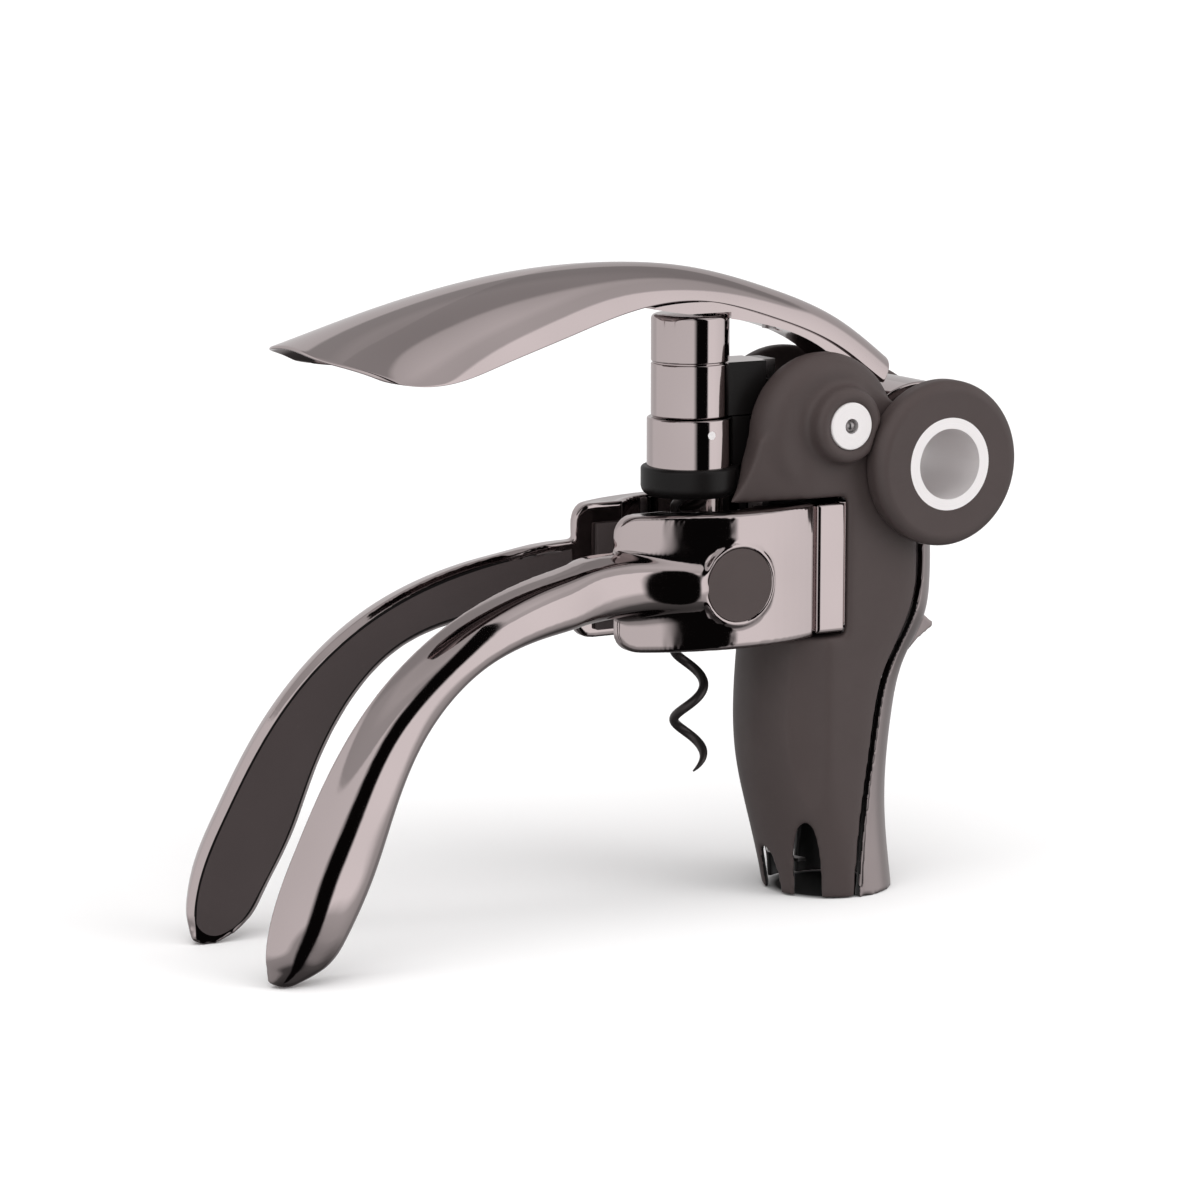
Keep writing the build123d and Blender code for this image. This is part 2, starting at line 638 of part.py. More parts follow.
# Right body half: column, upper side, beak, bulge and boss, then its pockets
seam_back = behind_seam(0, 0)
with BuildPart() as right_shell:
    add(column_slice(0, 0, column_top_z))
    box_between(
        worm_x - 60, worm_x + window_edge, -40, 40, window_low_z, column_top_z + 1, mode=Mode.SUBTRACT,
    )
    add(seam_back, mode=Mode.SUBTRACT)
    # Shallow flute between the front and the side of the column
    flute_away = shell_half - flute_depth + flute_radius
    flute_x = worm_x + column_front[-1][0] + shell_half - flute_away * cos(radians(flute_angle))
    flute_y = -flute_away * sin(radians(flute_angle))
    post(flute_radius, flute_x, flute_y, -1, window_low_z + 1, mode=Mode.SUBTRACT)
    add(upper_side.part)
    add(bulge.part)
    add(boss.part)
    box_between(
        worm_x - 60, worm_x + window_edge, -40, 40, window_low_z, window_high_z, mode=Mode.SUBTRACT,
    )
    cross_rod(hub_side, ring_radius + free, ring_inner_face - free, 40, mode=Mode.SUBTRACT)
    # Ear round the hub tube
    cross_rod(hub_side, ear_radius, drum_half + free, shell_half)
    # Pockets: drum, tube, slot, worm sleeves, knuckle, chamber and cup
    cross_rod(hub_side, drum_radius + 2 * free, 0, drum_half + free, mode=Mode.SUBTRACT)
    cross_rod(hub_side, tube_radius + running, 0, 30, mode=Mode.SUBTRACT)
    box_between(guide_front_x, 200, -slot_half, 60, cup_ceiling_z, 200, mode=Mode.SUBTRACT)
    post(stop_radius + 2 * free, worm_x, 0, window_high_z - 5, nut_bottom_z + 1, mode=Mode.SUBTRACT)
    post(nut_radius + 2 * free, worm_x, 0, nut_bottom_z, 200, mode=Mode.SUBTRACT)
    box_between(
        worm_x + window_edge - 1, hinge_x + knuckle_radius + 1.5, -(shell_half - shell_wall), 0,
        window_low_z, window_high_z, mode=Mode.SUBTRACT,
    )
    add(column_slice(shell_wall, cup_ceiling_z, shelf_low_z), mode=Mode.SUBTRACT)
    add(column_slice(cup_wall, -1, cup_depth), mode=Mode.SUBTRACT)
    # Notches round the front of the cup
    for turn, height in ((0, 12.0), (-41, 20.0), (41, 20.0)):
        notch = Plane((cup_x, 0, 0), x_dir=(sin(radians(turn)), -cos(radians(turn)), 0),
                      z_dir=(-cos(radians(turn)), -sin(radians(turn)), 0))
        with BuildSketch(notch):
            with BuildLine():
                Polyline((-3.2, 0.5 * height), (-3.5, -1), (3.5, -1), (3.2, 0.5 * height))
                EllipticalCenterArc((0, 0.5 * height), 3.2, 0.5 * height, start_angle=0, arc_size=180)
            make_face()
        extrude(amount=40, mode=Mode.SUBTRACT)
    # Seats of the pins, rivets, springs and blades
    cross_rod(boss_side, rivet_radius, boss_face - rivet_head, boss_face + 1, mode=Mode.SUBTRACT)
    cross_rod(boss_side, rivet_shank_radius, 0, boss_face, mode=Mode.SUBTRACT)
    for piece in (jaw_hinge_pins, foil_pivot_pin, shell_dowels, front_blades):
        add(piece.part, mode=Mode.SUBTRACT)
    with BuildSketch(Plane((worm_x + spring_seat, -spring_y, spring_z), z_dir=(1, 0, 0))):
        Circle(spring_radius + spring_wire)
    extrude(amount=20, mode=Mode.SUBTRACT)
    split(bisect_by=Plane.XZ, keep=Keep.TOP)
write(right_shell, "right_shell")

with BuildPart() as left_shell:
    mirror(right_shell.part, about=Plane.XZ)
write(left_shell, "left_shell")

# Lugs of the foil trigger, one towards each side
with BuildPart() as lugs:
    cross_rod(pivot_side, lug_radius, lug_inner, lug_outer)
    box_between(
        worm_x + pivot_offset, worm_x + 56, -lug_outer, -lug_inner,
        pivot_z - lug_radius, pivot_z + lug_radius,
    )
    add(column_solid(trigger_wall / 2), mode=Mode.INTERSECT)
    mirror(about=Plane.XZ)

# Foil trigger: the chrome back of the column, with its tab and pivot lugs
with BuildPart() as foil_trigger:
    add(column_slice(0, 0, trigger_top_z))
    with BuildSketch(Plane.XZ):
        with BuildLine():
            over = Spline(
                (worm_x + 61, tab_z + 7.6), (worm_x + 66.4, tab_z + 3.8),
                (worm_x + tab_reach, tab_z + tab_lip),
            )
            under = Spline(
                (worm_x + tab_reach, tab_z), (worm_x + 66.2, tab_z - 1.9), (worm_x + 61, tab_z - 6.5),
            )
            Line(over @ 1, under @ 0)
            Line(under @ 1, over @ 0)
        make_face()
    extrude(amount=tab_half, both=True)
    add(behind_seam(seam_gap_low, seam_gap_high), mode=Mode.INTERSECT)
    add(column_solid(trigger_wall), mode=Mode.SUBTRACT)
    add(lugs.part)
    cross_rod(pivot_side, pivot_radius + running, -20, 20, mode=Mode.SUBTRACT)
    add(rear_blade.part, mode=Mode.SUBTRACT)
write(foil_trigger, "foil_trigger")

# Foil springs: press the trigger's upper end outwards
spring_centre = worm_x + column_rear[-2][0] - shell_half
spring_end = spring_centre + sqrt((shell_half - trigger_wall) ** 2 - (spring_y + spring_radius) ** 2)
spring_length = spring_end - worm_x - spring_seat - spring_wire - free
spring_frame = Plane(
    (worm_x + spring_seat + spring_wire / 2, -spring_y, spring_z), x_dir=(0, 1, 0), z_dir=(1, 0, 0)
)
spring_arcs = helix_path(spring_frame, spring_radius, spring_length / spring_turns, 0, 0, spring_length)
with BuildPart() as foil_springs:
    with BuildLine() as spring_line:
        for start, end, way in spring_arcs:
            TangentArc(start, end, tangent=way)
    with BuildSketch(Plane(spring_line.line @ 0, z_dir=spring_line.line % 0)):
        Circle(spring_wire / 2)
    sweep(path=spring_line.line)
    mirror(about=Plane.XZ)
write(foil_springs, "foil_springs")
print("spring least gap", round(least_gap(spring_line.line, spring_wire, spring_turns), 2))

# Right handle, from its root on the collar to its tip
with BuildPart() as handle:
    roots = [half_oval(handle_frame(row[0], row[1], row[2], row[5]), row[3], row[4]) for row in handle_root]
    rest = [half_oval(handle_frame(*row[:3]), *row[3:]) for row in handle_sections + [handle_tip]]
    loft(sections=roots + rest)

# Jaw without its disc, on the right side
with BuildPart() as jaw_body:
    with BuildSketch(Plane.XY.offset(jaw_low_z)):
        with BuildLine():
            edge_reach = sqrt(jaw_bore_radius**2 - jaw_inner**2)
            Line((worm_x - jaw_front, -jaw_inner), (worm_x - edge_reach, -jaw_inner))
            ThreePointArc(
                (worm_x - edge_reach, -jaw_inner), (worm_x, -jaw_bore_radius),
                (worm_x + edge_reach, -jaw_inner),
            )
            Line((worm_x + edge_reach, -jaw_inner), (worm_x + jaw_rear, -jaw_inner))
            Line((worm_x + jaw_rear, -jaw_inner), (worm_x + jaw_rear, -jaw_rear_outer))
            ThreePointArc(
                (worm_x + jaw_rear, -jaw_rear_outer), (worm_x, -jaw_side),
                (worm_x - jaw_front, -jaw_front_outer),
            )
            Line((worm_x - jaw_front, -jaw_front_outer), (worm_x - jaw_front, -jaw_inner))
        make_face()
    extrude(amount=jaw_high_z - jaw_low_z)
    with BuildSketch(Plane.XZ):
        with Locations((worm_x + 20, (jaw_low_z + jaw_high_z) / 2)):
            Rectangle(2 * (20 + jaw_front), jaw_high_z - jaw_low_z)
        fillet(vertices().group_by(Axis.X)[0], jaw_front_round)
    extrude(amount=60, mode=Mode.INTERSECT)
    outside = jaw_body.faces().filter_by(GeomType.CYLINDER).sort_by(lambda f: f.radius)[-1]
    fillet(outside.edges(), jaw_edge_round)
    add(handle.part)
    box_between(-200, 200, -60, 60, -20, 0, mode=Mode.SUBTRACT)
    # Leaf beside the collar, and the knuckle on the hinge pin
    leaf_low_z = jaw_low_z + leaf_inset
    leaf_high_z = jaw_high_z - leaf_inset
    box_between(
        worm_x + jaw_rear - 1, worm_x + leaf_rear, -leaf_root, -jaw_inner, leaf_low_z, leaf_high_z,
    )
    box_between(
        worm_x + leaf_front, worm_x + leaf_rear, -leaf_face, -leaf_root, leaf_low_z, leaf_high_z,
    )
    box_between(
        worm_x + leaf_rear - 6, hinge_x, -hinge_y - 1.5, -hinge_y + 2.2, leaf_low_z, leaf_high_z,
    )
    post(knuckle_radius, hinge_x, -hinge_y, leaf_low_z, leaf_high_z)
    post(hinge_pin_radius + running, hinge_x, -hinge_y, 0, 200, mode=Mode.SUBTRACT)
    post(jaw_bore_radius, worm_x, 0, 0, 200, mode=Mode.SUBTRACT)
    extrude(inlay_outline(), amount=inlay_depth, mode=Mode.SUBTRACT)
    extrude(inlay_outline(), amount=-1, mode=Mode.SUBTRACT)

with BuildPart() as left_jaw:
    mirror(jaw_body.part, about=Plane.XZ)
write(left_jaw, "left_jaw")

# Right jaw, with the round seat of its plain disc
disc_side = side_plane(worm_x + disc_offset, disc_z)
with BuildPart() as right_jaw:
    add(jaw_body.part)
    cross_rod(disc_side, disc_radius + disc_rim, jaw_side - 3, disc_face)
    rim_edges = right_jaw.edges().filter_by(GeomType.CIRCLE).filter_by(lambda e: e.center().Y < 0.1 - disc_face)
    fillet(rim_edges.filter_by(lambda e: abs(e.radius - disc_radius - disc_rim) < 0.01), 0.4)
    cross_rod(disc_side, disc_radius + running, disc_face - disc_thickness, disc_face, mode=Mode.SUBTRACT)
    post(jaw_bore_radius, worm_x, 0, 0, 200, mode=Mode.SUBTRACT)
write(right_jaw, "right_jaw")

with BuildPart() as jaw_disc:
    cross_rod(disc_side, disc_radius, disc_face - disc_thickness, disc_face - 0.2)
write(jaw_disc, "jaw_disc")

# Grip inlays in the handles' flat inner faces
with BuildPart() as right_grip_inlay:
    extrude(inlay_outline(), amount=inlay_depth)
    extrude(inlay_outline(), amount=-0.25)
write(right_grip_inlay, "right_grip_inlay")

with BuildPart() as left_grip_inlay:
    mirror(right_grip_inlay.part, about=Plane.XZ)
write(left_grip_inlay, "left_grip_inlay")

# Neck pads inside the jaws
pad_flat = jaw_inner - 1.6
pad_reach = sqrt(neck_radius**2 - pad_flat**2)
with BuildPart() as right_neck_pad:
    with BuildSketch(Plane.XY.offset(pad_low_z)):
        with BuildLine():
            Polyline(
                (worm_x - edge_reach, -jaw_inner), (worm_x - pad_front, -jaw_inner),
                (worm_x - pad_front, -pad_flat), (worm_x - pad_reach, -pad_flat),
            )
            ThreePointArc(
                (worm_x - pad_reach, -pad_flat), (worm_x, -neck_radius), (worm_x + pad_reach, -pad_flat),
            )
            Line((worm_x + pad_reach, -pad_flat), (worm_x + edge_reach, -jaw_inner))
            ThreePointArc(
                (worm_x + edge_reach, -jaw_inner), (worm_x, -jaw_bore_radius),
                (worm_x - edge_reach, -jaw_inner),
            )
        make_face()
    extrude(amount=pad_high_z - pad_low_z)
write(right_neck_pad, "right_neck_pad")

with BuildPart() as left_neck_pad:
    mirror(right_neck_pad.part, about=Plane.XZ)
write(left_neck_pad, "left_neck_pad")

# Sector gear: teeth between the left and the bottom of the hub circle at rest
base_radius = gear_radius * cos(radians(pressure_angle))
root_radius = gear_radius - 1.25 * gear_module
tip_radius = gear_radius + gear_module
tooth_step = 360 / gear_teeth


def involute(angle):
    return tan(angle) - angle


def half_tooth(radius):
    """Half the angle of a tooth at a radius, in degrees."""
    at_pitch = pi / (2 * gear_teeth) - backlash / (4 * gear_radius)
    lean = involute(radians(pressure_angle)) - involute(acos(min(1, base_radius / radius)))
    return degrees(at_pitch + lean)


def polar(radius, angle):
    return (hub_x + radius * cos(radians(angle)), hub_z + radius * sin(radians(angle)))


sector_low = 180 - tooth_step
sector_high = sector_low + sector_teeth * tooth_step
with BuildPart() as sector_gear:
    outline = [polar(root_radius, sector_low)]
    for index in range(sector_teeth):
        middle = sector_low + (index + 0.5) * tooth_step
        for radius in (base_radius, gear_radius, tip_radius):
            outline.append(polar(radius, middle - half_tooth(radius)))
        for radius in (tip_radius, gear_radius, base_radius):
            outline.append(polar(radius, middle + half_tooth(radius)))
        outline.append(polar(root_radius, middle + tooth_step / 2))
    with BuildSketch(Plane.XZ):
        with BuildLine():
            Polyline(*outline)
            Line(outline[-1], polar(sector_inner_radius, sector_high))
            ThreePointArc(
                polar(sector_inner_radius, sector_high),
                polar(sector_inner_radius, (sector_low + sector_high) / 2),
                polar(sector_inner_radius, sector_low),
            )
            Line(polar(sector_inner_radius, sector_low), outline[0])
        make_face()
    extrude(amount=sector_half, both=True)
    pin_places = [polar(16.2, sector_low + 14), polar(16.2, sector_high - 14)]
    for x, z in pin_places:
        cross_rod(side_plane(x, z), 1.5, -sector_half, sector_half, mode=Mode.SUBTRACT)
write(sector_gear, "sector_gear")

with BuildPart() as sector_pins:
    for x, z in pin_places:
        cross_rod(side_plane(x, z), 1.5, -drum_half, drum_half)
write(sector_pins, "sector_pins")

# Lever screws, from under the arm into the cover's bosses
with BuildPart() as lever_screws:
    for place in lever_screw_places:
        low_z = underside(place) + 0.4
        post(lever_screw_head, worm_x + place, 0, low_z, low_z + 1.3)
        post(lever_screw_radius, worm_x + place, 0, low_z, low_z + 7.5)
write(lever_screws, "lever_screws")

# Lever arm with its hub drum
with BuildPart() as lever_arm:
    with BuildSketch(Plane.XZ):
        with BuildLine():
            arm_top = Spline(*[(worm_x + x, z) for x, z in lever_arm_top])
            arm_under = Spline(*[(worm_x + x, z) for x, z in lever_arm_under])
            Polyline(arm_top @ 1, (hub_x, hub_z + 10), (hub_x - 12, hub_z), arm_under @ 0)
            Line(arm_under @ 1, arm_top @ 0)
        make_face()
    extrude(amount=lever_arm_half, both=True)
    cross_rod(hub_side, drum_radius, -drum_half, drum_half)
    drum_edges = lever_arm.edges().filter_by(GeomType.CIRCLE)
    fillet(drum_edges.filter_by(lambda e: e.radius > drum_radius - 0.1), 0.6)
    cross_rod(hub_side, tube_radius, -drum_half, drum_half, mode=Mode.SUBTRACT)
    for place in lever_screw_places:
        post(lever_screw_head, worm_x + place, 0, hub_z, underside(place) + 1.7, mode=Mode.SUBTRACT)
    post(carriage_radius + 2 * free, worm_x, 0, hub_z, cap_top_z + 2 * free, mode=Mode.SUBTRACT)
    for piece in (sector_gear, sector_pins, lever_screws):
        add(piece.part, mode=Mode.SUBTRACT)
write(lever_arm, "lever_arm")

# Lever cover: an arched shell lofted along its ridge
with BuildPart() as lever_cover:
    with BuildLine(Plane.XZ) as ridge:
        Spline(*[(worm_x + x, z) for x, z, half, drop in lever_stations])
    ridge_edge = ridge.line.edges()[0]
    for x, z, half, drop in lever_stations:
        share = ridge_edge.param_at_point((worm_x + x, 0, z))
        station = Plane((worm_x + x, 0, z), x_dir=(0, 1, 0), z_dir=ridge_edge % share)
        with BuildSketch(station):
            with BuildLine():
                inside = half - lever_wall
                ThreePointArc((-half, -drop), (0, 0), (half, -drop))
                Line((half, -drop), (inside, -drop))
                ThreePointArc((inside, -drop), (0, -lever_wall), (-inside, -drop))
                Line((-inside, -drop), (-half, -drop))
            make_face()
    loft()
    with BuildSketch(Plane.XY.offset(100)):
        with BuildLine():
            across = [y * (lever_nose_half + 4) / 5 for y in range(-5, 6)]
            nose = [(worm_x + lever_tip + lever_nose * (y / lever_nose_half) ** 4, y) for y in across]
            tip_line = Spline(*nose)
            Polyline(tip_line @ 1, (hub_x + 20, across[-1]), (hub_x + 20, across[0]), tip_line @ 0)
        make_face()
    extrude(amount=100, mode=Mode.INTERSECT)
    for place in lever_screw_places:
        boss_top_z = crown_height(place) - lever_wall / 2
        post(lever_boss_radius, worm_x + place, 0, underside(place) + 2.2, boss_top_z)
    for piece in (lever_arm, lever_screws):
        add(piece.part, mode=Mode.SUBTRACT)
write(lever_cover, "lever_cover")

# Hub tube with its flange, the collar pressed on the far end, and the soft rings
with BuildPart() as hub_tube:
    cross_rod(hub_side, tube_radius, -hub_half_width, hub_half_width)
    cross_rod(hub_side, flange_radius, hub_half_width - flange_thickness, hub_half_width)
    cross_rod(hub_side, tube_bore_radius, -hub_half_width, hub_half_width, mode=Mode.SUBTRACT)
write(hub_tube, "hub_tube")

with BuildPart() as hub_collar:
    cross_rod(hub_side, flange_radius, -hub_half_width, flange_thickness - hub_half_width)
    cross_rod(hub_side, tube_radius, -hub_half_width, flange_thickness - hub_half_width, mode=Mode.SUBTRACT)
write(hub_collar, "hub_collar")

with BuildPart() as right_hub_ring:
    cross_rod(hub_side, ring_radius, ring_inner_face, hub_half_width)
    fillet(right_hub_ring.edges().filter_by(GeomType.CIRCLE).sort_by(Axis.Y)[0], 3.0)
    fillet(right_hub_ring.edges().filter_by(GeomType.CIRCLE).sort_by(Axis.Y)[-1], 2.0)
    cross_rod(hub_side, tube_radius, 0, hub_half_width, mode=Mode.SUBTRACT)
    cross_rod(hub_side, flange_radius, hub_half_width - flange_thickness, hub_half_width, mode=Mode.SUBTRACT)
write(right_hub_ring, "right_hub_ring")

with BuildPart() as left_hub_ring:
    mirror(right_hub_ring.part, about=Plane.XZ)
write(left_hub_ring, "left_hub_ring")
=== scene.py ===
"""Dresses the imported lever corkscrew: moulded and plated pieces, wound wires, finishes and a studio."""

import json
import math

import bmesh
import bpy
import numpy as np
from bpy.props import FloatProperty, FloatVectorProperty, IntProperty, PointerProperty
from bpy.types import Operator, Panel, PropertyGroup
from mathutils import Matrix, Vector
from mathutils.bvhtree import BVHTree


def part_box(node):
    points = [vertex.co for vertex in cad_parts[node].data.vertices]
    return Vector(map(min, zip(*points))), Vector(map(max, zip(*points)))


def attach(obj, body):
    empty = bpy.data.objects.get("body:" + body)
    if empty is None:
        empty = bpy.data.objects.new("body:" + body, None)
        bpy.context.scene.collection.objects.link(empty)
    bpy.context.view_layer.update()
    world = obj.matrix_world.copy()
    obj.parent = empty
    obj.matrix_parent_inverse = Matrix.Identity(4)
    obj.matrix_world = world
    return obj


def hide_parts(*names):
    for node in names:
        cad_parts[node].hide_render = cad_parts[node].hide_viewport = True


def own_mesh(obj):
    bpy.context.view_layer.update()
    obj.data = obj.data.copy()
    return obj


bl_info = {
    "name": "Lever Corkscrew",
    "version": (1, 0, 0),
    "blender": (4, 5, 0),
    "location": "View3D > Sidebar > Corkscrew",
    "description": "Finishes and pieces of a lever corkscrew on its packed frame",
    "category": "Object",
}

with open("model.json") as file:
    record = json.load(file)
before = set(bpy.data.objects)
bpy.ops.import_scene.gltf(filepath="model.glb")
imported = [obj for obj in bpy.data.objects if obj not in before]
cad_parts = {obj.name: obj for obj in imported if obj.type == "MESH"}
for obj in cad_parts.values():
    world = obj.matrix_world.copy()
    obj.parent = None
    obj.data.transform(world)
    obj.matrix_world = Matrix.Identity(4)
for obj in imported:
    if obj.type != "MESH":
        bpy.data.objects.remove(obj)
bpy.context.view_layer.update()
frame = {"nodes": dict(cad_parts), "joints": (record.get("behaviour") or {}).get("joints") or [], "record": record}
NODES = frame["nodes"]
JOINTS = {joint["name"]: joint for joint in frame["joints"]}
BODY_OF = {
    node: body for body, nodes in frame["record"]["behaviour"]["bodies"].items() for node in nodes
}
SLOT_OF = {part["node"]: part["material_slot"] for part in frame["record"]["subparts"]}
WORM_X = JOINTS["worm_spin"]["pos_m"][0]
HUB_X, _, HUB_Z = JOINTS["lever_swing"]["pos_m"]
CUP_X = WORM_X + 0.0415
CUP_TOP = 0.034
UNDER_CUP = -0.001
TRIGGER_TOP = 0.075
TAB_X = WORM_X + 0.0612
NUT_PIN_Z = 0.121

# The photograph's camera in metres
EYE = (WORM_X - 0.5119, -0.8739, 0.2565)
AIM = (WORM_X - 0.02565, 0.0, 0.08031)

# Handles: turn from the tool's length, and in millimetres where they leave the worm axis and the middle plane
TILT = math.radians(6.9)
HANDLE_ROOT = 27.5
HANDLE_SIDE = 9.6

# Lever cover stations in millimetres: place from the worm axis, height, half width and drop of the arch
LEVER_STATIONS = (
    (-113.5, 146.6, 23.4, 3.8),
    (-103.0, 150.35, 25.6, 8.8),
    (-92.0, 153.9, 26.2, 14.6),
    (-68.0, 160.0, 22.2, 17.2),
    (-44.0, 163.6, 17.6, 14.9),
    (-22.0, 164.2, 12.6, 10.9),
    (0.0, 162.0, 10.0, 7.9),
    (22.0, 155.9, 8.8, 7.4),
    (42.0, 147.4, 8.2, 7.4),
    (57.0, 136.6, 8.0, 7.6),
)

# Handle sections in millimetres: reach from the worm axis, height, slope in degrees, width and depth
HANDLE_SECTIONS = (
    (28.2, 86.0, -2.0, 15.8, 11.5),
    (52.8, 83.0, -17.0, 14.2, 12.4),
    (76.4, 74.7, -37.0, 12.5, 12.4),
    (93.5, 59.5, -52.0, 15.2, 11.0),
    (104.1, 42.7, -64.0, 18.4, 11.4),
    (110.8, 28.4, -67.0, 20.3, 11.4),
    (117.6, 14.5, -66.0, 19.1, 10.8),
    (120.4, 8.1, -66.0, 16.6, 9.0),
    (123.0, 3.8, -66.0, 11.4, 6.9),
    (125.0, 0.0, -66.0, 4.6, 3.2),
)


# Shader maths

class Field:
    """A shader socket that takes part in sums, differences and products."""

    def __init__(self, paint, socket):
        self.paint = paint
        self.socket = socket

    def _maths(self, operation, first, second):
        return self.paint.node("ShaderNodeMath", {"operation": operation}, {0: first, 1: second})

    def __add__(self, other):
        return self._maths("ADD", self, other)

    __radd__ = __add__

    def __sub__(self, other):
        return self._maths("SUBTRACT", self, other)

    def __rsub__(self, other):
        return self._maths("SUBTRACT", other, self)

    def __mul__(self, other):
        return self._maths("MULTIPLY", self, other)

    __rmul__ = __mul__


class Paint:
    """A material or a world, and the nodes that make its look."""

    def __init__(self, block, output, surface):
        block.use_nodes = True
        self.block = block
        self.tree = block.node_tree
        self.tree.nodes.clear()
        out = self.tree.nodes.new(output)
        self.surface = self.tree.nodes.new(surface)
        self.tree.links.new(self.surface.outputs[0], out.inputs["Surface"])

    def node(self, kind, settings=None, inputs=None, output=0):
        """One node of a kind, with its settings and then the values or links of its sockets."""
        made = self.tree.nodes.new(kind)
        for key, value in (settings or {}).items():
            if key == "stops":
                self.stops(made.color_ramp, value)
            else:
                setattr(made, key, value)
        for key, value in (inputs or {}).items():
            self.set(made.inputs[key], value)
        return Field(self, made.outputs[output])

    def stops(self, ramp, values):
        while len(ramp.elements) < len(values):
            ramp.elements.new(0.5)
        for element, (place, level) in zip(ramp.elements, values):
            element.position = place
            element.color = (level, level, level, 1.0)

    def set(self, socket, value):
        if isinstance(value, Field):
            self.tree.links.new(value.socket, socket)
        else:
            socket.default_value = value

    def finish(self, **values):
        for key, value in values.items():
            self.set(self.surface.inputs[key.replace("_", " ")], value)
        return self.block

    def place(self, scale=(1.0, 1.0, 1.0), move=(0.0, 0.0, 0.0)):
        coordinates = self.node("ShaderNodeTexCoord", output="Object")
        inputs = {"Vector": coordinates, "Scale": scale, "Location": move}
        return self.node("ShaderNodeMapping", inputs=inputs)

    def noise(self, where, scale, detail=3.0, roughness=0.5):
        inputs = {"Vector": where, "Scale": scale, "Detail": detail, "Roughness": roughness}
        return self.node("ShaderNodeTexNoise", inputs=inputs, output="Fac")

    def ramp(self, share, *stops):
        return self.node("ShaderNodeValToRGB", {"stops": stops}, {"Fac": share})

    def blend(self, share, first, second):
        inputs = {0: share, 6: (*first, 1.0), 7: (*second, 1.0)}
        return self.node("ShaderNodeMix", {"data_type": "RGBA"}, inputs, output=2)

    def bump(self, height, strength, distance):
        inputs = {"Strength": strength, "Distance": distance, "Height": height}
        return self.node("ShaderNodeBump", inputs=inputs)


def new_paint(name):
    return Paint(bpy.data.materials.new(name), "ShaderNodeOutputMaterial", "ShaderNodeBsdfPrincipled")


def shade(colour, factor):
    return tuple(min(1.0, channel * factor) for channel in colour)


def soft_coat(name, colour, roughness):
    """Matt soft-touch coating with a very fine grain and faint handling marks."""
    paint = new_paint(name)
    where = paint.place()
    grain = paint.noise(where, 3800.0, 2.0)
    cloud = paint.noise(where, 70.0, 4.0, 0.6)
    marks = paint.ramp(paint.noise(where, 190.0, 5.0, 0.7), (0.45, 0.0), (0.78, 1.0))
    edges = paint.ramp(paint.node("ShaderNodeNewGeometry", output="Pointiness"), (0.52, 0.0), (0.62, 1.0))
    tint = paint.blend(cloud * 0.6 + grain * 0.25 + edges * 0.25, shade(colour, 0.86), shade(colour, 1.16))
    return paint.finish(
        Base_Color=tint,
        Roughness=roughness + 0.10 * grain - 0.08 * marks,
        Normal=paint.bump(grain, 0.10, 0.00006),
        IOR=1.38,
    )


def dark_chrome(name, colour, roughness):
    """Polished dark chrome with the faint haze and waviness of a plated moulding."""
    paint = new_paint(name)
    where = paint.place()
    haze = paint.ramp(paint.noise(where, 120.0, 6.0, 0.65), (0.48, 0.0), (0.82, 1.0))
    peel = paint.noise(where, 260.0, 2.0)
    tint = paint.blend(paint.noise(where, 45.0, 1.0), shade(colour, 0.95), shade(colour, 1.05))
    return paint.finish(
        Base_Color=tint,
        Metallic=1.0,
        Roughness=roughness + 0.05 * haze,
        Normal=paint.bump(peel, 0.05, 0.0001),
    )


def turned_steel(name, colour, roughness, centre):
    """Bright steel with fine rings left by turning about an axis across the tool."""
    paint = new_paint(name)
    where = paint.place(move=(-centre[0], 0.0, -centre[1]))
    across = paint.node("ShaderNodeVectorMath", {"operation": "MULTIPLY"}, {0: where, 1: (1.0, 0.0, 1.0)})
    radius = paint.node("ShaderNodeVectorMath", {"operation": "LENGTH"}, {0: across}, output="Value")
    inputs = {"W": radius * 5200.0, "Scale": 1.0, "Detail": 2.0}
    rings = paint.node("ShaderNodeTexNoise", {"noise_dimensions": "1D"}, inputs, output="Fac")
    cloud = paint.noise(where, 130.0, 3.0)
    tint = paint.blend(rings, shade(colour, 0.93), shade(colour, 1.05))
    return paint.finish(
        Base_Color=tint,
        Metallic=0.55 + 0.2 * rings,
        Roughness=roughness + 0.12 * rings + 0.05 * cloud,
        Normal=paint.bump(rings, 0.05, 0.00004),
    )


def machined_steel(name, colour, roughness):
    """Plain machined steel with fine milling lines and oil marks."""
    paint = new_paint(name)
    lines = paint.noise(paint.place((1.0, 1.0, 26.0)), 70.0, 4.0, 0.7)
    oil = paint.ramp(paint.noise(paint.place(), 160.0, 5.0), (0.5, 0.0), (0.75, 1.0))
    tint = paint.blend(lines * 0.7 + oil * 0.3, shade(colour, 1.1), shade(colour, 0.78))
    return paint.finish(
        Base_Color=tint,
        Metallic=1.0,
        Roughness=roughness + 0.14 * lines - 0.08 * oil,
        Normal=paint.bump(lines, 0.08, 0.00006),
    )


def black_moulding(name, colour, roughness):
    """Black moulded plastic with a fine eroded texture."""
    paint = new_paint(name)
    where = paint.place()
    grain = paint.noise(where, 2600.0, 3.0)
    tint = paint.blend(paint.noise(where, 90.0, 3.0), shade(colour, 0.75), shade(colour, 1.35))
    return paint.finish(
        Base_Color=tint,
        Roughness=roughness + 0.15 * grain,
        Normal=paint.bump(grain, 0.12, 0.00006),
        IOR=1.33,
    )


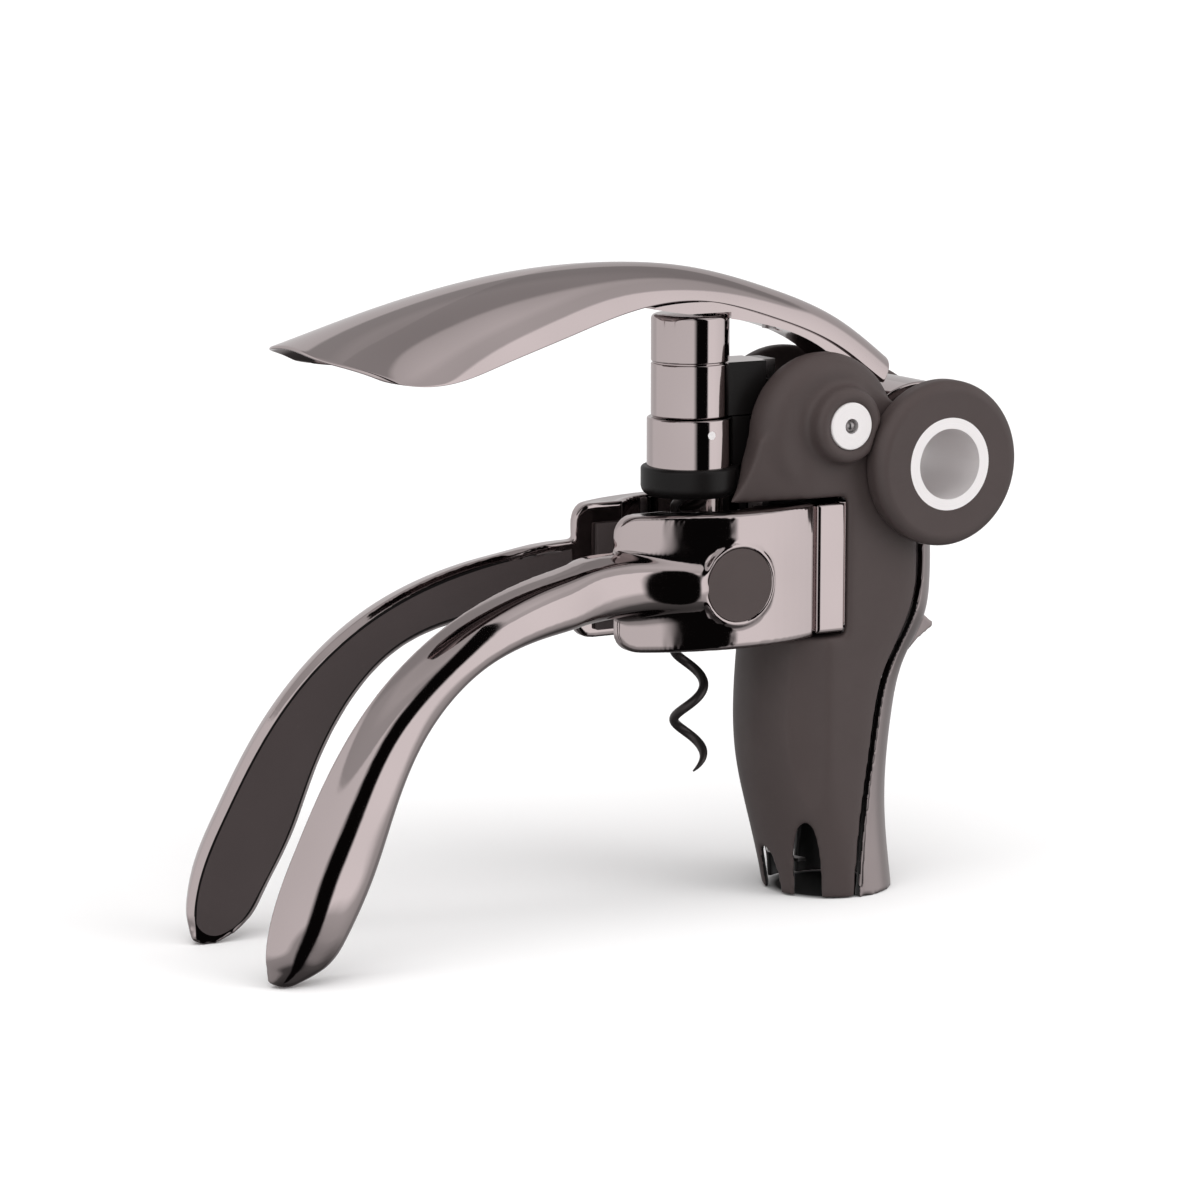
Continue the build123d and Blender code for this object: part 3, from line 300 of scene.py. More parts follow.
def slick_coat(name, colour, roughness):
    """Dark non-stick coating on steel wire, a little worn."""
    paint = new_paint(name)
    where = paint.place()
    wear = paint.ramp(paint.noise(where, 420.0, 5.0, 0.7), (0.55, 0.0), (0.72, 1.0))
    return paint.finish(
        Base_Color=paint.blend(wear, colour, shade(colour, 1.8)),
        Metallic=0.7 + 0.2 * wear,
        Roughness=roughness - 0.08 * wear,
    )


def rubber_grip(name, colour, roughness):
    """Soft rubber with a sandy moulded face."""
    paint = new_paint(name)
    where = paint.place()
    sand = paint.noise(where, 2200.0, 4.0, 0.6)
    specks = paint.ramp(paint.noise(where, 900.0, 2.0), (0.70, 0.0), (0.74, 1.0))
    cloud = paint.noise(where, 55.0, 4.0)
    tint = paint.blend(cloud * 0.55 + sand * 0.3 + specks * 0.3, shade(colour, 0.84), shade(colour, 1.2))
    return paint.finish(
        Base_Color=tint,
        Roughness=roughness + 0.12 * sand,
        Normal=paint.bump(sand, 0.2, 0.00008),
        IOR=1.4,
    )


# Mesh helpers

def new_object(name, mesh):
    made = bpy.data.objects.new(name, mesh)
    bpy.context.scene.collection.objects.link(made)
    return made


def plain_mesh(piece):
    """Turns what an object's modifiers make into its own plain mesh."""
    bpy.context.view_layer.update()
    evaluated = piece.evaluated_get(bpy.context.evaluated_depsgraph_get())
    mesh = bpy.data.meshes.new_from_object(evaluated)
    piece.modifiers.clear()
    piece.data = mesh
    mesh.name = piece.name
    return piece


def joined_copy(nodes, name, moves=None):
    """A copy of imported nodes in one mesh, some of them moved, with the loose triangles merged."""
    mesh = bpy.data.meshes.new(name)
    shape = bmesh.new()
    for node in nodes:
        copy = NODES[node].data.copy()
        copy.transform(Matrix.Translation((moves or {}).get(node, (0.0, 0.0, 0.0))))
        shape.from_mesh(copy)
        bpy.data.meshes.remove(copy)
    bmesh.ops.remove_doubles(shape, verts=shape.verts, dist=1e-6)
    shape.to_mesh(mesh)
    shape.free()
    return new_object(name, mesh)


def coordinates(mesh):
    values = np.empty(len(mesh.vertices) * 3)
    mesh.vertices.foreach_get("co", values)
    return values.reshape(-1, 3)


def relax(mesh, passes, weight=None, shrink=False):
    """Evens out a mesh; unless it may shrink, every second pass swells it back."""
    places = coordinates(mesh)
    ends = np.empty(len(mesh.edges) * 2, dtype=np.int64)
    mesh.edges.foreach_get("vertices", ends)
    first, second = ends[0::2], ends[1::2]
    share = np.bincount(first, minlength=len(places)) + np.bincount(second, minlength=len(places))
    share = np.maximum(share, 1)[:, None]
    strength = 1.0 if weight is None else weight(places)[:, None]
    for step in range(passes):
        pull = np.empty_like(places)
        for axis in range(3):
            pull[:, axis] = np.bincount(first, places[second, axis], len(places))
            pull[:, axis] += np.bincount(second, places[first, axis], len(places))
        pull = pull / share - places
        places += pull * strength * (-0.52 if step % 2 and not shrink else 0.5)
    mesh.vertices.foreach_set("co", places.ravel())
    mesh.update()


def moulded(nodes, name, grid, passes, shrink=False, moves=None):
    """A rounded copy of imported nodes, as a tool for moulding would make it."""
    piece = joined_copy(nodes, name, moves)
    remesh = piece.modifiers.new("grid", "REMESH")
    remesh.mode = "VOXEL"
    remesh.voxel_size = grid
    plain_mesh(piece)
    relax(piece.data, passes, shrink=shrink)
    piece.data.shade_smooth()
    return piece


def through(knots, values, at):
    """A natural cubic spline through values at knots, read at other places."""
    gap = np.diff(knots)[:, None]
    slope = np.diff(values, axis=0) / gap
    count = len(knots)
    matrix = np.eye(count)
    right = np.zeros((count, values.shape[1]))
    for k in range(1, count - 1):
        matrix[k, k - 1 : k + 2] = gap[k - 1, 0], 2 * (gap[k - 1, 0] + gap[k, 0]), gap[k, 0]
        right[k] = 6 * (slope[k] - slope[k - 1])
    bend = np.linalg.solve(matrix, right)
    span = np.clip(np.searchsorted(knots, at) - 1, 0, count - 2)
    step = gap[span]
    left = (at - knots[span])[:, None]
    rest = step - left
    curve = (bend[span] * rest**3 + bend[span + 1] * left**3) / (6 * step)
    curve += (values[span] / step - bend[span] * step / 6) * rest
    return curve + (values[span + 1] / step - bend[span + 1] * step / 6) * left


def near(places, centre, reach):
    """A weight that is one at a point and falls to nothing at a reach on each axis."""
    away = np.sqrt((((places - np.array(centre)) / np.array(reach)) ** 2).sum(axis=1))
    return np.clip(1.6 * (1.0 - away), 0.0, 1.0)


def handle_points(way, outline, rows):
    """Points of a handle on even rows; the outline gives each row's places across and outwards."""
    sections = np.array(HANDLE_SECTIONS)
    along = np.concatenate(([0.0], np.cumsum(np.hypot(*np.diff(sections[:, :2], axis=0).T))))
    along /= along[-1]
    reach, height, slope, width, depth = through(along, sections, np.linspace(0.0, 1.0, rows)).T
    slope = np.radians(slope)[:, None]
    across, outwards = outline(width[:, None], depth[:, None])
    run = -(reach[:, None] - HANDLE_ROOT) / math.cos(TILT) - across * np.sin(slope)
    x = -HANDLE_ROOT + run * math.cos(TILT) + outwards * math.sin(TILT)
    y = -HANDLE_SIDE + run * math.sin(TILT) - outwards * math.cos(TILT)
    z = height[:, None] - across * np.cos(slope) + 0.0 * outwards
    points = np.stack((x, -way * y, z), axis=2) / 1000
    points[:, :, 0] += WORM_X
    return points


def round_section(width, depth):
    """A D-shaped handle section with full shoulders and eased edges, flat on the inside."""
    angle = np.radians(np.linspace(0.0, 180.0, 49))[None, :]
    power = 2 / 2.9
    lean = 0.11
    half = width / 2 * np.sign(np.cos(angle)) * np.abs(np.cos(angle)) ** power
    out = depth * np.sin(angle) ** power * (1.0 + lean * np.cos(angle))
    ease = np.minimum(1.3, width / 4)
    low = np.clip(out, 0.0, ease)
    half = half - np.sign(half) * (ease - np.sqrt(ease**2 - (ease - low) ** 2))
    flat = np.linspace(-1.0, 1.0, 13)[None, 1:-1] * (width / 2 - ease)
    return np.concatenate((half, flat), axis=1), np.concatenate((out, 0.0 * flat), axis=1)


def settle(mesh, points, weight):
    """Draws the vertices of a mesh, by a weight, onto the even surface of ringed points."""
    rows, columns = points.shape[:2]
    faces = []
    for i in range(rows - 1):
        for j in range(columns):
            k = (j + 1) % columns
            faces.append((i * columns + j, i * columns + k, (i + 1) * columns + k, (i + 1) * columns + j))
    surface = BVHTree.FromPolygons([tuple(point) for point in points.reshape(-1, 3)], faces)
    places = coordinates(mesh)
    strength = weight(places)
    for index in np.nonzero(strength > 0)[0]:
        target = np.array(surface.find_nearest(Vector(places[index]))[0])
        places[index] += strength[index] * (target - places[index])
    mesh.vertices.foreach_set("co", places.ravel())
    mesh.update()


def rounded(nodes, name, width):
    """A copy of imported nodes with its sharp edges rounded."""
    piece = joined_copy(nodes, name)
    dissolve = piece.modifiers.new("flat faces", "DECIMATE")
    dissolve.decimate_type = "DISSOLVE"
    dissolve.angle_limit = math.radians(0.6)
    bevel = piece.modifiers.new("rounded edges", "BEVEL")
    bevel.width = width
    bevel.segments = 3
    bevel.limit_method = "ANGLE"
    bevel.angle_limit = math.radians(40)
    plain_mesh(piece)
    piece.data.shade_smooth()
    piece.data.set_sharp_from_angle(angle=math.radians(35))
    return piece


def stand_for(piece, nodes, *finishes):
    """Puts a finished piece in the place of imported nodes."""
    piece.data.materials.clear()
    for material in finishes:
        piece.data.materials.append(material)
    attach(piece, BODY_OF[nodes[0]])
    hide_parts(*nodes)
    return piece


def inner_faces(piece, axis_x, low, high, beyond=1.0, inside=False):
    """Gives the second finish to faces that look towards an upright axis between two heights and
    short of a plane beyond it, and where asked to those that look back over it."""
    mesh = piece.data
    count = len(mesh.polygons)
    centres = np.empty(count * 3)
    normals = np.empty(count * 3)
    mesh.polygons.foreach_get("center", centres)
    mesh.polygons.foreach_get("normal", normals)
    centres = centres.reshape(-1, 3)
    normals = normals.reshape(-1, 3)
    away = np.maximum(np.hypot(centres[:, 0] - axis_x, centres[:, 1]), 1e-6)
    facing = ((centres[:, 0] - axis_x) * normals[:, 0] + centres[:, 1] * normals[:, 1]) / away
    chosen = (facing < 0.3) & (normals[:, 2] > -0.8) & (centres[:, 2] > low) & (centres[:, 2] < high)
    chosen &= centres[:, 0] < beyond
    chosen |= (normals[:, 0] > 0.8) & (centres[:, 0] > axis_x - 0.004) & (centres[:, 2] < 0.09) & inside
    mesh.polygons.foreach_set("material_index", chosen.astype(np.int32))


def coat(names, material):
    """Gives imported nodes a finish."""
    for name in names:
        mesh = NODES[name].data
        mesh.materials.clear()
        mesh.materials.append(material)


def wire_tree():
    """Geometry nodes that wind a round wire on a helix, with a drawn-out point at its start."""
    tree = bpy.data.node_groups.get("wound_wire")
    if tree:
        return tree
    tree = bpy.data.node_groups.new("wound_wire", "GeometryNodeTree")
    for name, kind, value in (
        ("Helix radius", "NodeSocketFloat", 0.004),
        ("Wire", "NodeSocketFloat", 0.0024),
        ("Rise", "NodeSocketFloat", 0.09),
        ("Turns", "NodeSocketFloat", 5.0),
        ("Point", "NodeSocketFloat", 0.0),
        ("Finish", "NodeSocketMaterial", None),
    ):
        socket = tree.interface.new_socket(name, in_out="INPUT", socket_type=kind)
        if value is not None:
            socket.default_value = value
    tree.interface.new_socket("Geometry", in_out="OUTPUT", socket_type="NodeSocketGeometry")

    def add(kind, links, **settings):
        made = tree.nodes.new(kind)
        for key, value in settings.items():
            setattr(made, key, value)
        for key, value in links.items():
            if isinstance(value, bpy.types.NodeSocket):
                tree.links.new(value, made.inputs[key])
            else:
                made.inputs[key].default_value = value
        return made

    given = tree.nodes.new("NodeGroupInput").outputs
    helix = add(
        "GeometryNodeCurveSpiral",
        {
            "Resolution": 48, "Rotations": given["Turns"], "Start Radius": given["Helix radius"],
            "End Radius": given["Helix radius"], "Height": given["Rise"], "Reverse": True,
        },
    )
    along = add("GeometryNodeSplineParameter", {})
    span = add("ShaderNodeMath", {0: given["Point"], 1: 1e-6}, operation="MAXIMUM")
    taper = add(
        "ShaderNodeMapRange", {"Value": along.outputs["Length"], "From Max": span.outputs[0], "To Min": 0.08}
    )
    bow = add("ShaderNodeMath", {0: taper.outputs[0], 1: 0.7}, operation="POWER")
    half = add("ShaderNodeMath", {0: given["Wire"], 1: 0.5}, operation="MULTIPLY")
    thick = add("ShaderNodeMath", {0: half.outputs[0], 1: bow.outputs[0]}, operation="MULTIPLY")
    sized = add("GeometryNodeSetCurveRadius", {"Curve": helix.outputs[0], "Radius": thick.outputs[0]})
    ring = add("GeometryNodeCurvePrimitiveCircle", {"Resolution": 20, "Radius": 1.0})
    tube = add(
        "GeometryNodeCurveToMesh",
        {"Curve": sized.outputs[0], "Profile Curve": ring.outputs[0], "Fill Caps": True},
    )
    if "Scale" in tube.inputs:
        tree.links.new(thick.outputs[0], tube.inputs["Scale"])
    smooth = add("GeometryNodeSetShadeSmooth", {0: tube.outputs[0]})
    real = add("GeometryNodeRealizeInstances", {0: smooth.outputs[0]})
    done = add("GeometryNodeSetMaterial", {"Geometry": real.outputs[0], "Material": given["Finish"]})
    out = tree.nodes.new("NodeGroupOutput")
    tree.links.new(done.outputs[0], out.inputs[0])
    return tree


def wound(name, material, **sizes):
    """A plain mesh of one wound wire standing on the origin."""
    piece = new_object(name, bpy.data.meshes.new(name))
    modifier = piece.modifiers.new("wire", "NODES")
    modifier.node_group = wire_tree()
    values = {key.replace("_", " "): value for key, value in sizes.items()}
    values["Finish"] = material
    for item in modifier.node_group.interface.items_tree:
        if item.item_type == "SOCKET" and item.in_out == "INPUT" and item.name in values:
            modifier[item.identifier] = values[item.name]
    return plain_mesh(piece)


# Settings

class CORKSCREW_PG_finish(PropertyGroup):
    """Colours and gloss of the finishes."""

    soft: FloatVectorProperty(
        name="Soft coating", description="Colour of the soft-touch body and rings",
        subtype="COLOR", default=(0.0545, 0.0412, 0.0398), min=0.0, max=1.0,
    )
    soft_roughness: FloatProperty(
        name="Soft roughness", description="Roughness of the soft-touch coating",
        subtype="FACTOR", default=0.46, min=0.0, max=1.0,
    )
    chrome: FloatVectorProperty(
        name="Dark chrome", description="Colour of the dark chrome",
        subtype="COLOR", default=(0.50, 0.434, 0.432), min=0.0, max=1.0,
    )
    chrome_roughness: FloatProperty(
        name="Chrome roughness", description="Roughness of the dark chrome",
        subtype="FACTOR", default=0.06, min=0.0, max=1.0,
    )
    steel: FloatVectorProperty(
        name="Bright steel", description="Colour of the bright turned steel",
        subtype="COLOR", default=(0.90, 0.87, 0.87), min=0.0, max=1.0,
    )
    rubber: FloatVectorProperty(
        name="Grip rubber", description="Colour of the grip inlays and neck pads",
        subtype="COLOR", default=(0.048, 0.037, 0.037), min=0.0, max=1.0,
    )
    black: FloatVectorProperty(
        name="Black plastic", description="Colour of the black mouldings",
        subtype="COLOR", default=(0.0045, 0.0038, 0.0038), min=0.0, max=1.0,
    )
    wire: FloatVectorProperty(
        name="Worm coating", description="Colour of the worm's non-stick coating",
        subtype="COLOR", default=(0.045, 0.039, 0.039), min=0.0, max=1.0,
    )


class CORKSCREW_PG_moulding(PropertyGroup):
    """How finely the moulded pieces are made and how far their edges are rounded."""

    body_grid: FloatProperty(
        name="Body grid", description="Grid that the body halves are moulded on",
        unit="LENGTH", default=0.00064, min=0.0004, max=0.002, precision=5,
    )
    body_passes: IntProperty(
        name="Body softness", description="Passes that round the body",
        default=9, min=0, max=60,
    )
    plate_grid: FloatProperty(
        name="Plated grid", description="Grid that the chrome pieces are moulded on",
        unit="LENGTH", default=0.0005, min=0.0003, max=0.002, precision=5,
    )
    plate_passes: IntProperty(
        name="Plated evenness", description="Passes that even out the chrome pieces",
        default=36, min=0, max=100,
    )


class CORKSCREW_PG_lever(PropertyGroup):
    """Wall, nose and grid of the lever cover."""

    wall: FloatProperty(
        name="Wall", description="Thickness of the cover",
        unit="LENGTH", default=0.002, min=0.0005, max=0.004, precision=5,
    )
    tip: FloatProperty(
        name="Tip", description="Place of the nose from the worm axis",
        unit="LENGTH", default=-0.1096, precision=5,
    )
    nose: FloatProperty(
        name="Nose", description="How far the nose's corners lie behind its middle",
        unit="LENGTH", default=0.016, min=0.0, max=0.05, precision=5,
    )
    nose_half: FloatProperty(
        name="Nose half width", description="Half width that the nose is rounded over",
        unit="LENGTH", default=0.026, min=0.005, max=0.05, precision=5,
    )
    rim: FloatProperty(
        name="Rim", description="Rounding of the cover's rim",
        unit="LENGTH", default=0.0006, min=0.0, max=0.001, precision=5,
    )
    rows: IntProperty(
        name="Rows", description="Rows of the grid along the ridge",
        default=110, min=20, max=300,
    )
    columns: IntProperty(
        name="Columns", description="Columns of the grid across the arch",
        default=41, min=9, max=101,
    )


class CORKSCREW_PG_worm(PropertyGroup):
    """Sizes of the worm."""

    radius: FloatProperty(
        name="Helix radius", description="Radius of the wire's centre line",
        unit="LENGTH", default=0.00375, min=0.001, max=0.01, precision=5,
    )
    wire: FloatProperty(
        name="Wire", description="Diameter of the wire",
        unit="LENGTH", default=0.0024, min=0.001, max=0.006, precision=5,
    )
    pitch: FloatProperty(
        name="Pitch", description="Rise of the helix in one turn",
        unit="LENGTH", default=0.018, min=0.005, max=0.04, precision=5,
    )
    point: FloatProperty(
        name="Point", description="Length of wire drawn out to the point",
        unit="LENGTH", default=0.008, min=0.0, max=0.03, precision=5,
    )
    nut_angle: FloatProperty(
        name="Angle at the nut", description="Angle of the wire where it passes the nut pin",
        subtype="ANGLE", default=math.pi,
    )


class CORKSCREW_PG_stage(PropertyGroup):
    """Floor, lights and camera."""

    floor: FloatVectorProperty(
        name="Floor", description="Colour of the floor",
        subtype="COLOR", default=(0.90, 0.895, 0.895), min=0.0, max=1.0,
    )
    sky: FloatProperty(
        name="Studio", description="Strength of the studio's soft panels",
        default=1.0, min=0.0,
    )
    sun: FloatProperty(
        name="Overhead light", description="Strength of the broad overhead light",
        default=2.2, min=0.0,
    )
    lens: FloatProperty(name="Lens", description="Focal length in millimetres", default=122.71, min=10.0)


class CORKSCREW_PG_settings(PropertyGroup):
    """All settings of the corkscrew."""

    finish: PointerProperty(type=CORKSCREW_PG_finish)
    moulding: PointerProperty(type=CORKSCREW_PG_moulding)
    lever: PointerProperty(type=CORKSCREW_PG_lever)
    worm: PointerProperty(type=CORKSCREW_PG_worm)
    stage: PointerProperty(type=CORKSCREW_PG_stage)


def finish(name, make, *values):
    """One material for all the pieces that share a finish."""
    return bpy.data.materials.get(name) or make(name, *values)


def soft_finish(context):
    look = context.scene.corkscrew.finish
    return finish("soft_touch_coating", soft_coat, tuple(look.soft), look.soft_roughness)


def chrome_finish(context):
    look = context.scene.corkscrew.finish
    return finish("dark_chrome_plate", dark_chrome, tuple(look.chrome), look.chrome_roughness)


def steel_finish(context, name, centre):
    return finish(name, turned_steel, tuple(context.scene.corkscrew.finish.steel), 0.34, centre)


def black_finish(context):
    return finish("black_moulded_plastic", black_moulding, tuple(context.scene.corkscrew.finish.black), 0.34)


def rubber_finish(context):
    return finish("grip_rubber", rubber_grip, tuple(context.scene.corkscrew.finish.rubber), 0.62)


def tool_finish():
    return finish("machined_tool_steel", machined_steel, (0.42, 0.40, 0.40), 0.26)


# Operators

class CORKSCREW_OT_body(Operator):
    """Mould the two body halves with soft edges and a black foil cup"""

    bl_idname = "corkscrew.body"
    bl_label = "Body Halves"

    def execute(self, context):
        size = context.scene.corkscrew.moulding
        halves = ("right_shell", "left_shell")
        body = moulded(halves, "moulded_body", size.body_grid, size.body_passes, shrink=True)
        stand_for(body, halves, soft_finish(context), black_finish(context))
        inner_faces(body, CUP_X, UNDER_CUP, CUP_TOP, inside=True)
        return {"FINISHED"}


class CORKSCREW_OT_lever(Operator):
    """Loft the arched lever cover along its ridge on an even grid, and plate it with its arm"""

    bl_idname = "corkscrew.lever"
    bl_label = "Lever"

    def execute(self, context):
        size = context.scene.corkscrew.lever
        shape = bmesh.new()
        outer = self.sheet(size, 0.0)
        inner = self.sheet(size, size.wall)
        rows, columns = outer.shape[:2]
        skins = []
        for sheet in (outer, inner):
            skins.append([[shape.verts.new(point) for point in row] for row in sheet])
        for skin in skins:
            for i in range(rows - 1):
                for j in range(columns - 1):
                    shape.faces.new((skin[i][j], skin[i + 1][j], skin[i + 1][j + 1], skin[i][j + 1]))
        border = [(i, 0) for i in range(rows)]
        border += [(rows - 1, j) for j in range(1, columns)]
        border += [(i, columns - 1) for i in range(rows - 2, -1, -1)]
        border += [(0, j) for j in range(columns - 2, 0, -1)]
        for (i, j), (k, m) in zip(border, border[1:] + border[:1]):
            shape.faces.new((skins[0][i][j], skins[0][k][m], skins[1][k][m], skins[1][i][j]))
        bmesh.ops.recalc_face_normals(shape, faces=shape.faces)
        mesh = bpy.data.meshes.new("plated_lever")
        shape.to_mesh(mesh)
        shape.free()
        mesh.shade_smooth()
        cover = new_object("plated_lever", mesh)
        bevel = cover.modifiers.new("rounded rim", "BEVEL")
        bevel.width = size.rim
        bevel.segments = 3
        bevel.limit_method = "ANGLE"
        bevel.angle_limit = math.radians(45)
        finer = cover.modifiers.new("finer", "SUBSURF")
        finer.levels = finer.render_levels = 1
        plain_mesh(cover)
        stand_for(cover, ("lever_cover",), chrome_finish(context))
        coat(("lever_arm",), chrome_finish(context))
        return {"FINISHED"}

    def sheet(self, size, wall):
        """Points of the cover's upper or lower skin, from its rounded nose to the hub."""
        places = np.array([(x, z) for x, z, half, drop in LEVER_STATIONS]) / 1000
        along = np.concatenate(([0.0], np.cumsum(np.hypot(*np.diff(places, axis=0).T))))
        along /= along[-1]
        ahead = through(along, places, along + 1e-4) - through(along, places, along - 1e-4)
        ahead /= np.hypot(*ahead.T)[:, None]
        turn = np.linspace(-1.0, 1.0, size.columns)
        nose_share, nose_reach, sunk = 0.45, 0.04, 0.8
        stations = []
        for (x, z), (run, climb), (_, _, half, drop) in zip(places, ahead, LEVER_STATIONS):
            thick = wall * min(1.0, nose_share + (x - places[0, 0]) / nose_reach)
            half = half / 1000 - thick
            drop = drop / 1000 - sunk * thick
            radius = (half**2 + drop**2) / (2 * drop)
            angle = turn * math.atan2(half, radius - drop)
            down = -radius + radius * np.cos(angle) - sunk * thick
            stations.append(np.stack((x - climb * down, radius * np.sin(angle), z + run * down), axis=1))
        stations = np.array(stations)
        spread = 1 - (1 - np.linspace(0.0, 1.0, size.rows)) ** 1.15
        points = np.empty((size.rows, size.columns, 3))
        for j in range(size.columns):
            low, high = 0.0, 0.5
            for _ in range(40):
                middle = (low + high) / 2
                x, y, _ = through(along, stations[:, j], np.array([middle]))[0]
                if x < size.tip + size.nose * (y / size.nose_half) ** 4:
                    low = middle
                else:
                    high = middle
            points[:, j] = through(along, stations[:, j], low + (1 - low) * spread)
        points[:, :, 0] += WORM_X
        return points


class CORKSCREW_OT_jaws(Operator):
    """Plate the clamp jaws with their handles, and fill in the inlays, pads and plain disc"""

    bl_idname = "corkscrew.jaws"
    bl_label = "Jaws and Handles"

    def execute(self, context):
        size = context.scene.corkscrew.moulding
        bed = 0.00025
        neck_reach = (0.017, 0.011, 0.0135)
        collar_end = WORM_X + 0.022
        grip_start = WORM_X - 0.036
        fade = 0.012
        for side, way in (("right", -1.0), ("left", 1.0)):
            node = side + "_jaw"
            inlay = side + "_grip_inlay"
            flush = {inlay: (bed * math.sin(TILT), way * bed * math.cos(TILT), 0.0)}
            jaw = moulded((node, inlay), "plated_" + node, size.plate_grid, 12, moves=flush)
            neck = (WORM_X - 0.021, way * 0.018, 0.0855)
            handle = handle_points(way, round_section, 260)

            def blend(places, neck=neck):
                return near(places, neck, neck_reach)

            def collar(places):
                return np.clip((collar_end - places[:, 0]) / fade, 0.0, 1.0)

            def grip(places):
                clear = np.clip((places[:, 2] - 0.0015) / 0.003, 0.0, 1.0)
                share = np.clip((grip_start - places[:, 0]) / fade, 0.0, 1.0)
                return clear * share * share * (3 - 2 * share)

            relax(jaw.data, 60, blend, shrink=True)
            relax(jaw.data, size.plate_passes, collar)
            settle(jaw.data, handle, grip)
            relax(jaw.data, 6, collar)
            stand_for(jaw, (node,), chrome_finish(context))
            for part in (inlay, side + "_neck_pad"):
                stand_for(rounded((part,), "soft_" + part, 0.0004), (part,), rubber_finish(context))
            # Painted shade: a thin black sheet shows as a dark line round each inlay, standing in for the shade in
            # the gap between inlay and handle
            painted_gap_shade = self.painted_gap_shade(way, side + "_inlay_gasket")
            painted_gap_shade.data.materials.append(black_finish(context))
            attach(painted_gap_shade, BODY_OF[node])
        coat(("jaw_disc",), soft_finish(context))
        return {"FINISHED"}

    def painted_gap_shade(self, way, name):
        """A thin black sheet under an inlay's edge that paints the shade of the gap round the inlay as a dark
        line.
        """

        inset, proud, thick = 1.45, -0.08, 0.0006

        def edges(width, depth):
            half = np.maximum(width / 2 - inset, 0.1)
            return np.concatenate((-half, half), axis=1), np.full((len(width), 2), proud)

        points = handle_points(way, edges, 120)[4:115]
        end = points[-1].mean(axis=0) + (points[-1] - points[-8]).mean(axis=0) * 0.35
        ring = [*points[:, 0], end, *points[::-1, 1]]
        shape = bmesh.new()
        face = shape.faces.new([shape.verts.new(point) for point in ring])
        deep = Vector((math.sin(TILT), way * math.cos(TILT), 0.0)) * thick
        grown = bmesh.ops.extrude_face_region(shape, geom=[face])["geom"]
        bmesh.ops.translate(shape, vec=deep, verts=[v for v in grown if isinstance(v, bmesh.types.BMVert)])
        bmesh.ops.triangulate(shape, faces=[f for f in shape.faces if len(f.verts) > 4])
        bmesh.ops.recalc_face_normals(shape, faces=shape.faces)
        mesh = bpy.data.meshes.new(name)
        shape.to_mesh(mesh)
        shape.free()
        return new_object(name, mesh)


class CORKSCREW_OT_trigger(Operator):
    """Plate the foil trigger, black on its inside, and seat its blade"""

    bl_idname = "corkscrew.trigger"
    bl_label = "Foil Trigger"

    def execute(self, context):
        size = context.scene.corkscrew.moulding
        trigger = moulded(("foil_trigger", "rear_blade"), "plated_foil_trigger", size.plate_grid, 10)
        look = context.scene.corkscrew.finish
        satin = finish("satin_dark_chrome", dark_chrome, shade(look.chrome, 0.62), 0.28)
        stand_for(trigger, ("foil_trigger",), satin, black_finish(context))
        inner_faces(trigger, CUP_X, UNDER_CUP, TRIGGER_TOP, beyond=TAB_X)
        seat = {"rear_blade": (-0.0006, 0.0, 0.0)}
        blade = joined_copy(("rear_blade",), "seated_rear_blade", moves=seat)
        stand_for(blade, ("rear_blade",), tool_finish())
        return {"FINISHED"}


class CORKSCREW_OT_sleeves(Operator):
    """Finish the sleeves on the worm axis with their black-sided arms, the bottle stop and the rack guide"""

    bl_idname = "corkscrew.sleeves"
    bl_label = "Sleeves"

    def execute(self, context):
        coat(("carriage_cap", "carriage", "nut_block"), chrome_finish(context))
        coat(("bottle_stop", "rack_guide"), black_finish(context))
        arm_start = WORM_X + 0.009
        for node in ("carriage", "nut_block"):
            mesh = NODES[node].data
            mesh.materials.append(black_finish(context))
            for face in mesh.polygons:
                face.material_index = int(face.center.x > arm_start and abs(face.normal.y) > 0.9)
        coat(("nut_pin",), steel_finish(context, "turned_steel_pin", (WORM_X, NUT_PIN_Z)))
        return {"FINISHED"}


class CORKSCREW_OT_hub(Operator):
    """Finish the hub rings, its bright tube and the cap rivets"""

    bl_idname = "corkscrew.hub"
    bl_label = "Hub and Rivets"

    def execute(self, context):
        coat(("right_hub_ring", "left_hub_ring"), soft_finish(context))
        coat(("hub_tube", "hub_collar"), steel_finish(context, "turned_steel_hub", (HUB_X, HUB_Z)))
        low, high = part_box("cap_rivets")
        centre = ((low[0] + high[0]) / 2, (low[2] + high[2]) / 2)
        coat(("cap_rivets",), steel_finish(context, "turned_steel_rivets", centre))
        return {"FINISHED"}


class CORKSCREW_OT_worm(Operator):
    """Wind the worm and set it on its spindle"""

    bl_idname = "corkscrew.worm"
    bl_label = "Worm"

    def execute(self, context):
        size = context.scene.corkscrew.worm
        coating = finish("slick_worm_coat", slick_coat, tuple(context.scene.corkscrew.finish.wire), 0.34)
        low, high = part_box("worm")
        nut = sum(corner[2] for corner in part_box("nut_pin")) / 2
        top = high[2] - 0.0105
        rise = top - low[2]
        worm = wound(
            "wound_worm", coating, Helix_radius=size.radius, Wire=size.wire,
            Rise=rise, Turns=rise / size.pitch, Point=size.point,
        )
        first = size.nut_angle - 2 * math.pi * (nut - low[2]) / size.pitch
        worm.data.transform(Matrix.Translation((WORM_X, 0, low[2])) @ Matrix.Rotation(first, 4, "Z"))
        shape = bmesh.new()
        shape.from_mesh(worm.data)
        spindle = (0.0054, high[2] - 0.0128, 0.0109)
        flange = ((high[0] - low[0]) / 2, high[2] - 0.0019, 0.0019)
        for radius, base, height in (spindle, flange):
            place = Matrix.Translation((WORM_X, 0, base + height / 2))
            bmesh.ops.create_cone(
                shape, cap_ends=True, segments=64, radius1=radius, radius2=radius, depth=height, matrix=place,
            )
        shape.to_mesh(worm.data)
        shape.free()
        worm.data.shade_smooth()
        worm.data.set_sharp_from_angle(angle=math.radians(40))
        stand_for(worm, ("worm",), coating)
        return {"FINISHED"}


